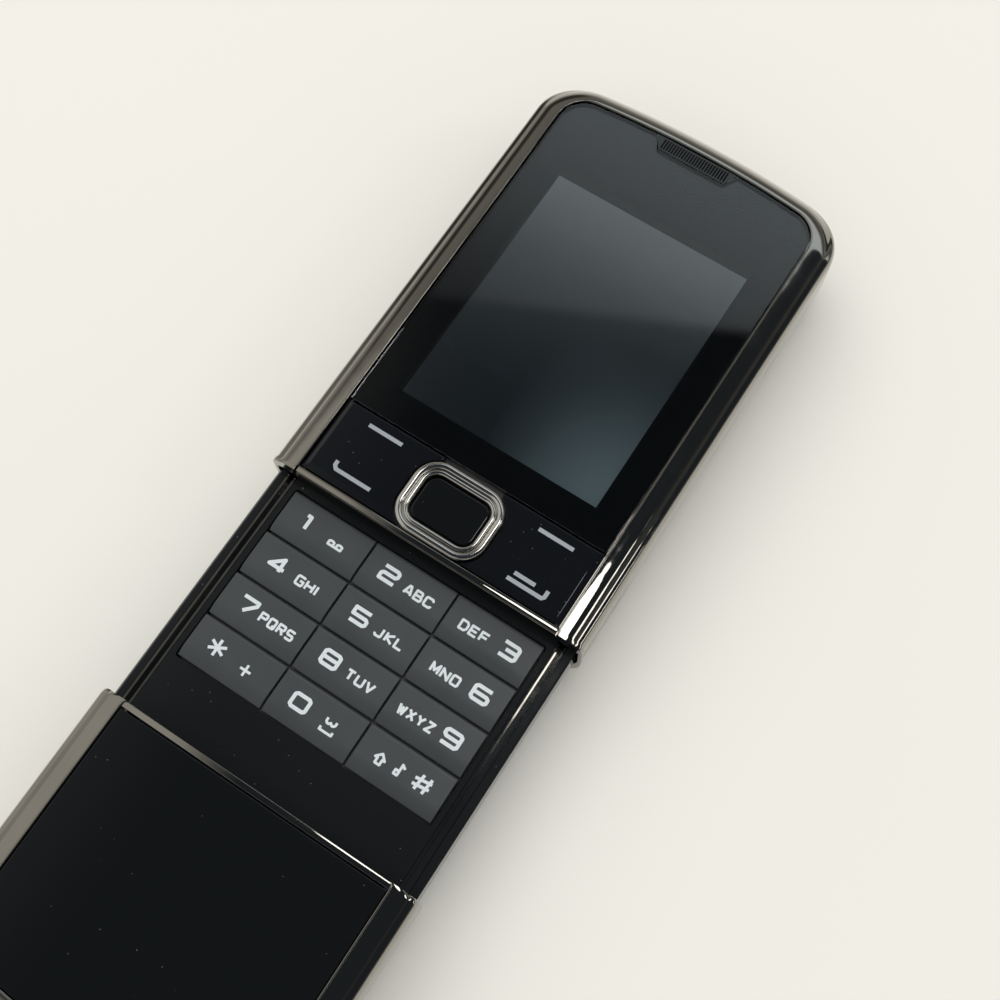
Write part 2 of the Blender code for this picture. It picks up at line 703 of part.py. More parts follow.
def display_module():
    start = WINDOW_EDGE + DISPLAY_MARGIN
    centre = (0.0, start + DISPLAY_LENGTH / 2)
    outline = rounded_rectangle(centre, DISPLAY_WIDTH, DISPLAY_LENGTH, SEAT_GAP * 2)
    return prism("display_module", outline, SLIDER_FLOOR, SLIDER_FLOOR + DISPLAY_THICKNESS, black_glass())


def earpiece():
    centre_y = TOP_END - FRAME_BAND - FRAME_LEDGE - 2 * SEAT_GAP - EARPIECE_WIDTH / 2
    outline = rounded_rectangle((0.0, centre_y), EARPIECE_LENGTH, EARPIECE_WIDTH, EARPIECE_WIDTH / 3)
    return prism("earpiece", outline, SLIDER_FLOOR, SLIDER_FLOOR + EARPIECE_THICKNESS, dark_plastic())


def function_stack():
    """The board under the function keys and the rubber mat on it."""
    length = PAD_LENGTH + FUNCTION_BOARD_LAP
    width = 2 * LEDGE_HALF_WIDTH - SEAT_GAP * 2
    outline = rounded_rectangle((0.0, PAD_BOTTOM_EDGE + length / 2), width, length, SEAT_GAP * 2)
    board = prism("function_board", outline, SLIDER_FLOOR, SLIDER_FLOOR + BOARD_THICKNESS, circuit_board())
    mat = prism("function_mat", outline, FUNCTION_MAT_LOW, FUNCTION_MAT_TOP, rubber())
    return board, mat


def ring_outline(inset):
    """The rounded outline of the navigation ring, drawn in by an inset."""
    width = RING_WIDTH - 2 * inset
    length = RING_LENGTH - 2 * inset
    return rounded_rectangle((0.0, RING_Y), width, length, RING_CORNER - inset, RING_CORNER_STEPS)


def function_pad(name, side):
    """A one-piece rocker with sloped margins, cut round the navigation ring.

    Its foot is narrower than its face, to clear the ledge that the window sits on."""
    foot_x = LEDGE_HALF_WIDTH - SEAT_GAP

    def plan(inner_x, outer_x, low_y, high_y):
        corners = [(inner_x, low_y), (outer_x, low_y), (outer_x, high_y), (inner_x, high_y)]
        return [(side * x, y) for x, y in corners]

    foot = plan(PAD_INNER_EDGE + SEAT_GAP, foot_x, PAD_BOTTOM_EDGE + SEAT_GAP, PAD_TOP_EDGE - SEAT_GAP)
    brim = plan(PAD_INNER_EDGE, GLASS_HALF_WIDTH, PAD_BOTTOM_EDGE, PAD_TOP_EDGE)
    face = plan(PAD_INNER_EDGE + SEAT_GAP, GLASS_HALF_WIDTH - PAD_BEVEL,
                PAD_BOTTOM_EDGE + PAD_BEVEL, PAD_TOP_EDGE - PAD_BEVEL / 3)
    shoulder = GLASS_TOP - PAD_BEVEL_DROP
    layers = [(foot, PAD_FOOT), (foot, GLASS_BOTTOM), (brim, GLASS_BOTTOM), (brim, shoulder)]
    layers.append((face, GLASS_TOP))
    made = layered(name, layers, gloss_black())
    room = ring_outline(-RING_CLEARANCE)
    cut(made, prism(name + "_ring_cut", room, PAD_FOOT - CUT_OVERRUN, FRONT + CUT_OVERRUN, gloss_black()))
    middle_x = (PAD_INNER_EDGE + GLASS_HALF_WIDTH) / 2
    set_origin(made, (side * middle_x, (PAD_BOTTOM_EDGE + PAD_TOP_EDGE) / 2, LEDGE_TOP))
    return made


def nav_ring():
    """The double-rimmed ring: one section carried round a rounded rectangle."""
    height = GLASS_TOP + RING_PROUD - RING_FOOT
    rings = []
    outlines = [ring_outline(across * RING_BAND) for across, up in RING_SHARES]
    for corner in range(len(outlines[0])):
        ring = []
        for outline, (across, up) in zip(outlines, RING_SHARES):
            x, y = outline[corner]
            ring.append(Vector((x, y, RING_FOOT + up * height)))
        rings.append(ring)
    made = loft("nav_ring", rings, gunmetal(), closed=True)
    set_origin(made, (0.0, RING_Y, LEDGE_TOP))
    return made


def nav_carrier():
    """The web under the ring that rocks it up and down."""
    made = prism("nav_carrier", ring_outline(SEAT_GAP), CARRIER_LOW, CARRIER_TOP, dark_plastic())
    inner = ring_outline(RING_BAND * CARRIER_BAND_SHARE)
    above = CARRIER_TOP + CUT_OVERRUN
    cut(made, prism("nav_carrier_cut", inner, CARRIER_LOW - CUT_OVERRUN, above, dark_plastic()))
    set_origin(made, (0.0, RING_Y, LEDGE_TOP))
    return made


def centre_key():
    inset = RING_BAND + RING_CLEARANCE
    edge = GLASS_EDGE_BEVEL / 2
    layers = [
        (ring_outline(inset), CENTRE_KEY_FOOT),
        (ring_outline(inset), GLASS_TOP - edge),
        (ring_outline(inset + edge), GLASS_TOP),
    ]
    made = layered("centre_key", layers, gloss_black())
    set_origin(made, (0.0, RING_Y, CENTRE_KEY_FOOT))
    return made


# The inner body

def body_layers(low, high, top_chamfer):
    heights = [low + (high - low) * share for share in TUCK_SHARES]
    layers = [(whole_outline(BODY_INSET + side_inset(height)), height) for height in heights]
    if top_chamfer:
        shoulder = high - top_chamfer
        layers = [layer for layer in layers if layer[1] < shoulder]
        layers.append((whole_outline(BODY_INSET + side_inset(shoulder)), shoulder))
        layers.append((whole_outline(BODY_INSET + top_chamfer), high))
    return layers


def pocket_outline(low_y, high_y, half_width):
    centre = (0.0, (low_y + high_y) / 2)
    return rounded_rectangle(centre, 2 * half_width, high_y - low_y, POCKET_CORNER)


def boss_places():
    return [(side * BOSS_X, y) for y in (BOSS_TOP_Y, BOSS_LOW_Y) for side in (-1, 1)]


def socket_block(name, grow, start, end):
    """A block with the outline of the charging socket, grown all round, between two places along Y."""
    middle = (0.0, MAIN_BOARD_TOP + SEAT_GAP + SOCKET_HEIGHT / 2)
    width = SOCKET_WIDTH + 2 * grow
    outline = rounded_rectangle(middle, width, SOCKET_HEIGHT + 2 * grow, SOCKET_ROUND + grow)
    rings = [[Vector((x, y, z)) for x, z in outline] for y in (start, end)]
    return loft(name, rings, steel())


def socket_cut(name, grow):
    """The mouth of the charging socket, cut through the end walls."""
    return socket_block(name, grow, BASE_END - CUT_OVERRUN, BASE_END + SOCKET_DEPTH + SEAT_GAP * 2)


def rail_cut(side):
    rail_x = side * RAIL_X
    half = RAIL_WIDTH / 2 + SEAT_GAP / 2
    low = (rail_x - half, RAIL_START - SEAT_GAP, RAIL_LOW - SEAT_GAP)
    high = (rail_x + half, RAIL_END + SEAT_GAP, DECK_HEIGHT + CUT_OVERRUN)
    return box("rail_cut_%s" % ("left" if side < 0 else "right"), low, high, steel())


def inner_frame():
    """The gloss black deck with its side walls, the key opening and the grooves for the rails."""
    low = BODY_SPLIT + SEAT_GAP
    made = layered("inner_frame", body_layers(low, DECK_HEIGHT, DECK_CHAMFER), gloss_black())
    pocket_low = BASE_END + BODY_INSET + 2 * INNER_WALL
    pocket_high = BODY_TOP_END - 2 * INNER_WALL
    pocket = pocket_outline(pocket_low, pocket_high, POCKET_HALF_WIDTH)
    cut(made, prism("frame_pocket_cut", pocket, low - CUT_OVERRUN, DECK_UNDERSIDE, gloss_black()))
    opening_length = KEYPAD_LENGTH + 2 * KEY_GAP / 3
    opening = rounded_rectangle(KEYPAD_CENTRE, 2 * POCKET_HALF_WIDTH, opening_length, KEY_CORNER)
    above = DECK_HEIGHT + CUT_OVERRUN
    cut(made, prism("key_opening_cut", opening, DECK_UNDERSIDE - CUT_OVERRUN, above, gloss_black()))
    for side in (-1, 1):
        cut(made, rail_cut(side))
    for number, place in enumerate(boss_places(), start=1):
        post = [(BOSS_RADIUS, low), (BOSS_RADIUS, DECK_UNDERSIDE + SEAT_GAP)]
        fuse(made, turned("frame_boss_%d" % number, place, post, gloss_black(), SMALL_ROUND_STEPS))
        bore_top = BODY_SPLIT + SCREW_REACH + 2 * SEAT_GAP
        bore_radius = SCREW_RADIUS + SCREW_CLEARANCE
        bore = [(bore_radius, low - CUT_OVERRUN), (bore_radius, bore_top)]
        cut(made, turned("frame_bore_cut_%d" % number, place, bore, gloss_black(), SMALL_ROUND_STEPS))
    cut(made, socket_cut("socket_wall_cut", SEAT_GAP))
    return made


def rear_chassis():
    """The back of the inner body: a tray above, and the battery bay open to the back below."""
    made = layered("rear_chassis", body_layers(BODY_BOTTOM, BODY_SPLIT, 0.0), dark_plastic())
    tray = pocket_outline(BASE_EDGE + SEAT_GAP, BODY_TOP_END - TUCK - INNER_WALL, TRAY_HALF_WIDTH)
    cut(made, prism("tray_cut", tray, BODY_BOTTOM + INNER_WALL, BODY_SPLIT + CUT_OVERRUN, dark_plastic()))
    bay_centre = (0.0, (BAY_TOP_EDGE + BAY_BOTTOM_EDGE) / 2)
    bay = rounded_rectangle(bay_centre, 2 * BAY_HALF_WIDTH, BAY_LENGTH, BATTERY_CORNER)
    cut(made, prism("battery_bay_cut", bay, BODY_BOTTOM - CUT_OVERRUN, BAY_CEILING, dark_plastic()))
    window = [(LENS_RADIUS + SEAT_GAP, BODY_BOTTOM - CUT_OVERRUN), (LENS_RADIUS + SEAT_GAP, BODY_SPLIT)]
    cut(made, turned("camera_window_cut", (0.0, SLIDER_EDGE - CAMERA_OFFSET), window, dark_plastic()))
    for number, place in enumerate(boss_places(), start=1):
        floor = BODY_BOTTOM + INNER_WALL / 2
        boss = turned("chassis_boss_%d" % number, place, [(BOSS_RADIUS, floor), (BOSS_RADIUS, BODY_SPLIT)],
                      dark_plastic(), SMALL_ROUND_STEPS)
        fuse(made, boss)
        head_radius = SCREW_HEAD_RADIUS + SCREW_CLEARANCE
        bore_radius = SCREW_RADIUS + SCREW_CLEARANCE
        head_top = BODY_BOTTOM + SEAT_GAP + SCREW_HEAD_HEIGHT + SCREW_CLEARANCE
        profile = [(head_radius, BODY_BOTTOM - CUT_OVERRUN), (head_radius, head_top),
                   (bore_radius, head_top), (bore_radius, BODY_SPLIT + CUT_OVERRUN)]
        cut(made, turned("chassis_bore_cut_%d" % number, place, profile, dark_plastic(), SMALL_ROUND_STEPS))
    return made


def screws():
    made = []
    for number, place in enumerate(boss_places(), start=1):
        head_low = BODY_BOTTOM + SEAT_GAP
        head_high = head_low + SCREW_HEAD_HEIGHT
        profile = [(SCREW_HEAD_RADIUS, head_low), (SCREW_HEAD_RADIUS, head_high),
                   (SCREW_RADIUS, head_high), (SCREW_RADIUS, BODY_SPLIT + SCREW_REACH)]
        made.append(turned("screw_%d" % number, place, profile, steel(), SMALL_ROUND_STEPS))
    return made


def rail(name, side):
    """A steel channel, open to the front, that the runner's blade travels in."""
    half = RAIL_WIDTH / 2
    inner = half - RAIL_WALL
    floor = RAIL_LOW + RAIL_WALL
    section = [
        (RAIL_X - half, RAIL_LOW), (RAIL_X + half, RAIL_LOW), (RAIL_X + half, DECK_HEIGHT),
        (RAIL_X + inner, DECK_HEIGHT), (RAIL_X + inner, floor), (RAIL_X - inner, floor),
        (RAIL_X - inner, DECK_HEIGHT), (RAIL_X - half, DECK_HEIGHT),
    ]
    rings = [[Vector((side * x, y, z)) for x, z in section] for y in (RAIL_START, RAIL_END)]
    return loft(name, rings, steel())


# The number keys and what lies under them

def key_columns():
    """The left and right limits of the three key columns."""
    inner = MIDDLE_COLUMN / 2
    return ((-KEYPAD_HALF_WIDTH, -inner), (-inner, inner), (inner, KEYPAD_HALF_WIDTH))


def number_key(name, column, row):
    """A key with a crowned top that rolls down at its lower edge, chamfered at its sides."""
    left, right = key_columns()[column]
    top_y = KEYPAD_TOP_EDGE - row * KEY_ROW_PITCH - KEY_GAP / 2
    length = KEY_ROW_PITCH - KEY_GAP
    low_x = left + KEY_GAP / 2
    high_x = right - KEY_GAP / 2
    crown = [(top_y - share * length, KEY_TOP - drop * KEY_THICKNESS) for share, drop in KEY_CROWN_SHARES]
    stations = ((low_x, KEY_SIDE_BEVEL), (low_x + KEY_SIDE_BEVEL, 0.0), (high_x - KEY_SIDE_BEVEL, 0.0),
                (high_x, KEY_SIDE_BEVEL))
    rings = []
    for x, drop in stations:
        ring = [Vector((x, top_y, KEY_BOTTOM))]
        ring += [Vector((x, y, z - drop)) for y, z in crown]
        ring.append(Vector((x, top_y - length, KEY_BOTTOM)))
        rings.append(ring)
    made = loft(name, rings, key_plastic())
    set_origin(made, ((left + right) / 2, top_y - length / 2, KEY_BOTTOM))
    return made


def number_keys():
    names = ("key_1", "key_2", "key_3", "key_4", "key_5", "key_6",
             "key_7", "key_8", "key_9", "key_star", "key_0", "key_hash")
    return [number_key(name, index % 3, index // 3) for index, name in enumerate(names)]


def keypad_plate(low, high, name, surface):
    width = 2 * (KEYPAD_HALF_WIDTH - SEAT_GAP)
    outline = rounded_rectangle(KEYPAD_CENTRE, width, KEYPAD_LENGTH, KEY_CORNER)
    return prism(name, outline, low, high, surface)


def number_mat():
    """The rubber mat, with a nub under each key."""
    made = keypad_plate(KEY_MAT_TOP - KEY_MAT, KEY_MAT_TOP, "number_mat", rubber())
    for row in range(4):
        for column, (left, right) in enumerate(key_columns()):
            place = ((left + right) / 2, KEYPAD_TOP_EDGE - (row + 0.5) * KEY_ROW_PITCH)
            root = KEY_MAT_TOP - KEY_MAT / 2
            nub = [(KEY_NUB_RADIUS, root), (KEY_NUB_RADIUS, KEY_MAT_TOP + KEY_NUB_HEIGHT)]
            name = "mat_nub_%d_%d" % (row + 1, column + 1)
            fuse(made, turned(name, place, nub, rubber(), SMALL_ROUND_STEPS))
    return made


def keypad_board():
    return keypad_plate(KEYPAD_BOARD_LOW, KEYPAD_BOARD_TOP, "keypad_board", circuit_board())


# Inside the inner body

def main_board():
    low_y = BASE_END + BODY_INSET + 2 * INNER_WALL + SEAT_GAP
    high_y = BODY_TOP_END - 2 * INNER_WALL - SEAT_GAP
    centre = (0.0, (low_y + high_y) / 2)
    outline = rounded_rectangle(centre, 2 * BOARD_HALF_WIDTH, high_y - low_y, POCKET_CORNER / 2)
    return prism("main_board", outline, MAIN_BOARD_LOW, MAIN_BOARD_TOP, circuit_board())


def shield_cans():
    """Two pressed steel cans, one on each face of the main board."""
    centre = (0.0, BODY_TOP_END - TUCK - INNER_WALL - SHIELD_LENGTH / 2 - SEAT_GAP * 3)
    outline = rounded_rectangle(centre, SHIELD_WIDTH, SHIELD_LENGTH, SEAT_GAP * 3)
    front_low = MAIN_BOARD_TOP + SEAT_GAP
    rear_high = MAIN_BOARD_LOW - SEAT_GAP
    front = prism("shield_can_front", outline, front_low, front_low + SHIELD_THICKNESS, steel())
    rear = prism("shield_can_rear", outline, rear_high - SHIELD_THICKNESS, rear_high, steel())
    for can in (front, rear):
        soften(can, SEAT_GAP)
    return front, rear


def camera():
    """The camera block with its barrel, and the cover lens in the back of the body."""
    place = (0.0, SLIDER_EDGE - CAMERA_OFFSET)
    lens_low = BODY_BOTTOM + SEAT_GAP
    lens_high = lens_low + LENS_THICKNESS
    lens = turned("camera_lens", place, [(LENS_RADIUS, lens_low), (LENS_RADIUS, lens_high)], black_glass())
    barrel_low = lens_high + SEAT_GAP
    block_low = barrel_low + CAMERA_BARREL_HEIGHT
    block_high = MAIN_BOARD_LOW - SEAT_GAP
    outline = rounded_rectangle(place, CAMERA_SIZE, CAMERA_SIZE, SEAT_GAP * 3)
    block = prism("camera_module", outline, block_low, block_high, dark_plastic())
    profile = [(CAMERA_BARREL_RADIUS, barrel_low), (CAMERA_BARREL_RADIUS, block_low + SEAT_GAP)]
    fuse(block, turned("camera_barrel", place, profile, dark_plastic()))
    return lens, block


def vibration_motor():
    """The motor, with its shaft along X, and the half-round weight that turns on it."""
    axis = (BASE_EDGE + SEAT_GAP + MOTOR_OFFSET, MOTOR_HEIGHT)
    can_end = MOTOR_X + MOTOR_LENGTH
    weight_start = can_end + WEIGHT_CLEARANCE
    shaft_end = weight_start + WEIGHT_LENGTH + WEIGHT_CLEARANCE
    profile = [(MOTOR_RADIUS, MOTOR_X), (MOTOR_RADIUS, can_end),
               (MOTOR_SHAFT_RADIUS, can_end), (MOTOR_SHAFT_RADIUS, shaft_end)]
    motor = turned_along_x("vibration_motor", axis, profile, steel())
    return motor, motor_weight(axis, weight_start)


def motor_weight(axis, start):
    """A half-round weight with a bored hub; its origin is on the shaft's axis."""
    outline = []
    for step in range(SMALL_ROUND_STEPS + 1):
        angle = math.pi + math.pi * step / SMALL_ROUND_STEPS
        outline.append((MOTOR_RADIUS * math.cos(angle), MOTOR_RADIUS * math.sin(angle)))
    bore_radius = MOTOR_SHAFT_RADIUS + WEIGHT_BORE_CLEARANCE
    hub = 2 * bore_radius
    for step in range(SMALL_ROUND_STEPS // 2 + 1):
        angle = 2 * math.pi * step / SMALL_ROUND_STEPS
        outline.append((hub * math.cos(angle), hub * math.sin(angle)))
    end = start + WEIGHT_LENGTH
    rings = [[Vector((x, axis[0] + y, axis[1] + z)) for y, z in outline] for x in (start, end)]
    weight = loft("motor_weight", rings, steel())
    profile = [(bore_radius, start - CUT_OVERRUN), (bore_radius, end + CUT_OVERRUN)]
    cut(weight, turned_along_x("weight_bore_cut", axis, profile, steel()))
    set_origin(weight, (start, axis[0], axis[1]))
    return weight


# The battery bay

def battery():
    low_y = BAY_BOTTOM_EDGE + BAY_CLEARANCE
    centre = (0.0, low_y + BATTERY_LENGTH / 2)
    outline = rounded_rectangle(centre, 2 * BATTERY_HALF_WIDTH, BATTERY_LENGTH, BATTERY_CORNER)
    made = prism("battery", outline, BATTERY_BOTTOM, BATTERY_TOP, dark_plastic())
    soften(made, BATTERY_CORNER / 2, 2)
    return made


def battery_contacts():
    """The contact block with three sprung blades that meet the battery."""
    high_y = BAY_TOP_EDGE - SEAT_GAP
    low_y = high_y - CONTACT_LENGTH + CONTACT_BLADE_REACH + SEAT_GAP
    high = BAY_CEILING - SEAT_GAP
    low = BATTERY_BOTTOM + CONTACT_DROP
    half = CONTACT_WIDTH / 2
    made = box("battery_contacts", (-half, low_y, low), (half, high_y, high), dark_plastic())
    for index in (-1, 0, 1):
        x = index * CONTACT_PITCH
        blade_low = (x - CONTACT_BLADE / 2, low_y - CONTACT_BLADE_REACH, low + CONTACT_BLADE)
        blade_high = (x + CONTACT_BLADE / 2, low_y + SEAT_GAP, high - CONTACT_BLADE)
        fuse(made, box("contact_blade_%d" % (index + 2), blade_low, blade_high, steel()))
    return made


def sim_holder():
    """A thin pressed cage over the SIM card, open in the middle."""
    centre = (0.0, BAY_BOTTOM_EDGE + SIM_MARGIN + SIM_LENGTH / 2)
    low = SIM_TOP - SIM_THICKNESS
    outline = rounded_rectangle(centre, SIM_WIDTH, SIM_LENGTH, SEAT_GAP * 3)
    made = prism("sim_holder", outline, low, SIM_TOP, steel())
    inner = rounded_rectangle(centre, SIM_WIDTH - 2 * SIM_BORDER, SIM_LENGTH - 2 * SIM_BORDER, SEAT_GAP * 3)
    cut(made, prism("sim_holder_cut", inner, low - CUT_OVERRUN, SIM_TOP + CUT_OVERRUN, steel()))
    return made


# The lower front block

def speaker_place():
    return (SPEAKER_X, BASE_EDGE - SPEAKER_FROM_EDGE)


def antenna_carrier():
    """The plastic block under the lower panel, with a round hole for the loudspeaker."""
    low = DECK_HEIGHT + SEAT_GAP
    high = GLASS_BOTTOM - SEAT_GAP
    edge = PANEL_EDGE - SEAT_GAP
    made = prism("antenna_carrier", half_outline(BASE_END, edge, CARRIER_INSET), low, high, dark_plastic())
    radius = SPEAKER_RADIUS + SEAT_GAP
    profile = [(radius, low - CUT_OVERRUN), (radius, high + CUT_OVERRUN)]
    cut(made, turned("speaker_hole_cut", speaker_place(), profile, dark_plastic()))
    return made


def loudspeaker():
    low = DECK_HEIGHT + SEAT_GAP
    high = GLASS_BOTTOM - SEAT_GAP
    profile = [(SPEAKER_RADIUS, low), (SPEAKER_RADIUS, high), (SPEAKER_RADIUS - SPEAKER_RIM, high),
               (SPEAKER_RADIUS - 2 * SPEAKER_RIM, high - SPEAKER_RIM_DROP)]
    return turned("loudspeaker", speaker_place(), profile, dark_plastic())


def microphone():
    place = (-MICROPHONE_X, BASE_END + BODY_INSET + 2 * INNER_WALL + 2 * MICROPHONE_RADIUS)
    low = MAIN_BOARD_TOP + SEAT_GAP
    profile = [(MICROPHONE_RADIUS, low), (MICROPHONE_RADIUS, low + MICROPHONE_THICKNESS)]
    return turned("microphone", place, profile, steel(), SMALL_ROUND_STEPS)


def charging_socket():
    """A steel socket open at the phone's lower end, seated on the main board."""
    mouth_y = BASE_END + BODY_INSET
    back_y = BASE_END + SOCKET_DEPTH
    body = socket_block("charging_socket", 0.0, mouth_y, back_y)
    hollow_end = back_y - 2 * SOCKET_WALL
    cut(body, socket_block("socket_hollow_cut", -SOCKET_WALL, mouth_y - CUT_OVERRUN, hollow_end))
    return body


def display_half():
    """Every piece that slides, parented to one empty on the line between the rails."""
    pieces = [
        slider_shell(), slider_back(), slider_chassis(), runner("runner_left", -1), runner("runner_right", 1),
        display_window(), earpiece_grille(), display_module(), earpiece(), *function_stack(),
        function_pad("left_pad", -1), function_pad("right_pad", 1), nav_ring(), nav_carrier(), centre_key(),
    ]
    carry("slider_on_rails", (0.0, SLIDER_EDGE, RAIL_LOW + RAIL_WALL), pieces)


def build():
    remove_everything()
    display_half()
    inner_frame()
    rear_chassis()
    screws()
    rail("rail_left", -1)
    rail("rail_right", 1)
    number_keys()
    number_mat()
    keypad_board()
    main_board()
    shield_cans()
    camera()
    vibration_motor()
    lower_shell()
    lower_panel()
    battery_cover()
    battery()
    battery_contacts()
    sim_holder()
    antenna_carrier()
    loudspeaker()
    microphone()
    charging_socket()


build()
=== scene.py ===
# %% [markdown]
# This is a slider phone that lies on its back on a pale table, slid open, so its number keys show between
# two halves of mirror-polished gunmetal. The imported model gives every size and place, and this script
# dresses it. Each finish and each piece has a cell of its own, in the order in which a maker would put them
# together.

# %% The fixed frame
import math

import bmesh
import bpy
from mathutils import Matrix, Quaternion, Vector


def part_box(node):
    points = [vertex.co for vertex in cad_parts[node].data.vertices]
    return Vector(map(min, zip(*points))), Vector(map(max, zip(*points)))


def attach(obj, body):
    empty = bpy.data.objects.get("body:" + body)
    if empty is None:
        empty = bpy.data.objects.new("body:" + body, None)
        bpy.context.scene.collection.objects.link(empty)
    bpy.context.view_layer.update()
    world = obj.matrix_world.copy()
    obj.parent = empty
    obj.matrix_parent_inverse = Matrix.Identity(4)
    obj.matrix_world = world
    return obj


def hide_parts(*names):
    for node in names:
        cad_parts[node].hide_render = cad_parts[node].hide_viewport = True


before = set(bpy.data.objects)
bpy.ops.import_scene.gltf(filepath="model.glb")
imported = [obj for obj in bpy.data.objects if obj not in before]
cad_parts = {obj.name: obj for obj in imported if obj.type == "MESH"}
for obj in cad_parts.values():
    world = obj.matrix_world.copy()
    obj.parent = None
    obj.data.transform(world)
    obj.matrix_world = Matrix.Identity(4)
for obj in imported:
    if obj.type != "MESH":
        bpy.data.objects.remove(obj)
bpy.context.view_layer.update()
MM = 0.001

# %% [markdown]
# The photograph was taken from above and a little below the phone's lower end, with the phone turned across
# the picture. The camera is given as its place, its line of sight and a small roll about that line, because
# these three can be corrected one at a time when the render is laid beside the photograph.

# %% Camera
CAMERA_PLACE = Vector((38.003, -35.491, 184.079)) * MM
CAMERA_SIGHT = Vector((-0.18728, 0.26398, -0.94617))
CAMERA_ROLL = math.radians(2.395)
CAMERA_LENS = 50.4

camera_data = bpy.data.cameras.new("photo_camera")
camera_data.lens = CAMERA_LENS
camera_data.clip_start = 5 * MM
camera = bpy.data.objects.new("photo_camera", camera_data)
bpy.context.scene.collection.objects.link(camera)
camera.rotation_mode = "QUATERNION"
camera.rotation_quaternion = Quaternion(CAMERA_SIGHT, CAMERA_ROLL) @ CAMERA_SIGHT.to_track_quat("-Z", "Y")
camera.location = CAMERA_PLACE
bpy.context.scene.camera = camera
print("camera stands %.0f mm above the table" % (CAMERA_PLACE.z / MM))

# %% [markdown]
# A polished phone shows the room more than it shows itself. The room is drawn for that: walls that are pale
# to the left and low down, a dark stretch overhead and to the right, where a camera and its holder would
# stand, and a ceiling beyond the earpiece whose straight edge gives the glass its grey half. It is made from
# the direction alone, and its tones and edges were set until the reflections resembled the photograph's.
# Only mirrors and glass show it. Behind the table the camera sees a plain pale tone, and matt surfaces get
# an even light. Two bright panels draw the white strips on the band. A soft lamp, which polished surfaces
# don't show, lights the table.

# %% Room and lamps
ROOM_DARK = (0.030, 0.036, 0.043, 1.0)
ROOM_WALL = (0.46, 0.445, 0.415, 1.0)
ROOM_CEILING = (0.87, 0.96, 1.0, 1.0)
CEILING_NEAR = (0.17, 0.18, 0.185, 1.0)
ROOM_FAR = (0.17, 0.165, 0.155, 1.0)
LEFT_BEAM = (0.27, 0.26, 0.24, 1.0)
LEFT_PALE = (0.60, 0.585, 0.54, 1.0)
RIGHT_WALL = (0.34, 0.335, 0.315, 1.0)
RIGHT_FOOT = (0.07, 0.07, 0.065, 1.0)
CABINET = (0.07, 0.066, 0.055, 1.0)
AMBIENT = (0.74, 0.735, 0.715, 1.0)
CEILING_SIDE = Vector((-0.476, 1.0, -0.554)).normalized()
CEILING_LEFT = Vector((1.0, 0.0, 0.42))
CEILING_FAR = Vector((0.0, 1.0, -1.0))
LEFT_SIDE = Vector((-1.0, 0.0, -0.27))
CABINET_SIDE = Vector((0.45, 1.0, 0.0))
BEAM_START = (0.27, 0.36)
LEFT_FOOT = (0.28, 0.20)
CABINET_FRONT = (-0.03, 0.06)
CABINET_END = (-0.35, -0.50)
CABINET_TOP = (0.62, 0.50)
CABINET_FOOT = (0.14, 0.24)
RIGHT_START = (0.19, 0.24)
RIGHT_TOP = (0.37, 0.30)
LEFT_TO_RIGHT = (0.1, 0.4)
LEFT_REACH = (0.0, 0.24)
DARK_FOOT = (0.50, 0.40)
CEILING_PALER = (0.38, 0.64)
CEILING_END = (0.0, 0.28)
CEILING_EDGE = (-0.006, 0.006)
CEILING_LEFT_EDGE = (-0.03, 0.03)
CEILING_FOOT = (0.25, 0.35)
BACKGROUND = (0.87, 0.86, 0.81, 1.0)
LAMP_COLOUR = (1.0, 0.99, 0.97)


def feed(tree, node, inputs):
    """Gives inputs of a node, by name or number, a plain value each or another node's result."""
    for name, value in inputs.items():
        if isinstance(value, bpy.types.NodeSocket):
            tree.links.new(value, node.inputs[name])
        elif isinstance(value, tuple):
            node.inputs[name].default_value = (*value, 1.0)[:4]
        else:
            node.inputs[name].default_value = value


def add_node(tree, kind, inputs=None, **settings):
    """Adds one shader node, sets its plain properties by name and feeds its inputs."""
    made = tree.nodes.new(kind)
    for name, value in settings.items():
        setattr(made, name, value)
    feed(tree, made, inputs or {})
    return made


def calculate(tree, operation, first, second):
    return add_node(tree, "ShaderNodeMath", {0: first, 1: second}, operation=operation).outputs[0]


def fade(tree, value, span):
    """A mask that rises smoothly from 0 to 1 while a value goes from one end of a span to the other."""
    inputs = {"Value": value, "From Min": span[0], "From Max": span[1]}
    return add_node(tree, "ShaderNodeMapRange", inputs, interpolation_type="SMOOTHSTEP").outputs["Result"]


def towards(tree, direction, side, span):
    """A mask that rises while a direction turns towards one side."""
    turned = add_node(tree, "ShaderNodeVectorMath", {0: direction, 1: side}, operation="DOT_PRODUCT")
    return fade(tree, turned.outputs["Value"], span)


def overlap(tree, *masks):
    """The part that all masks share."""
    result = masks[0]
    for mask in masks[1:]:
        result = calculate(tree, "MULTIPLY", result, mask)
    return result


def blend(tree, mask, first, second):
    """Mixes two colours by a mask; each may be a plain colour or another node's result."""
    return add_node(tree, "ShaderNodeMix", {0: mask, 6: first, 7: second}, data_type="RGBA").outputs[2]


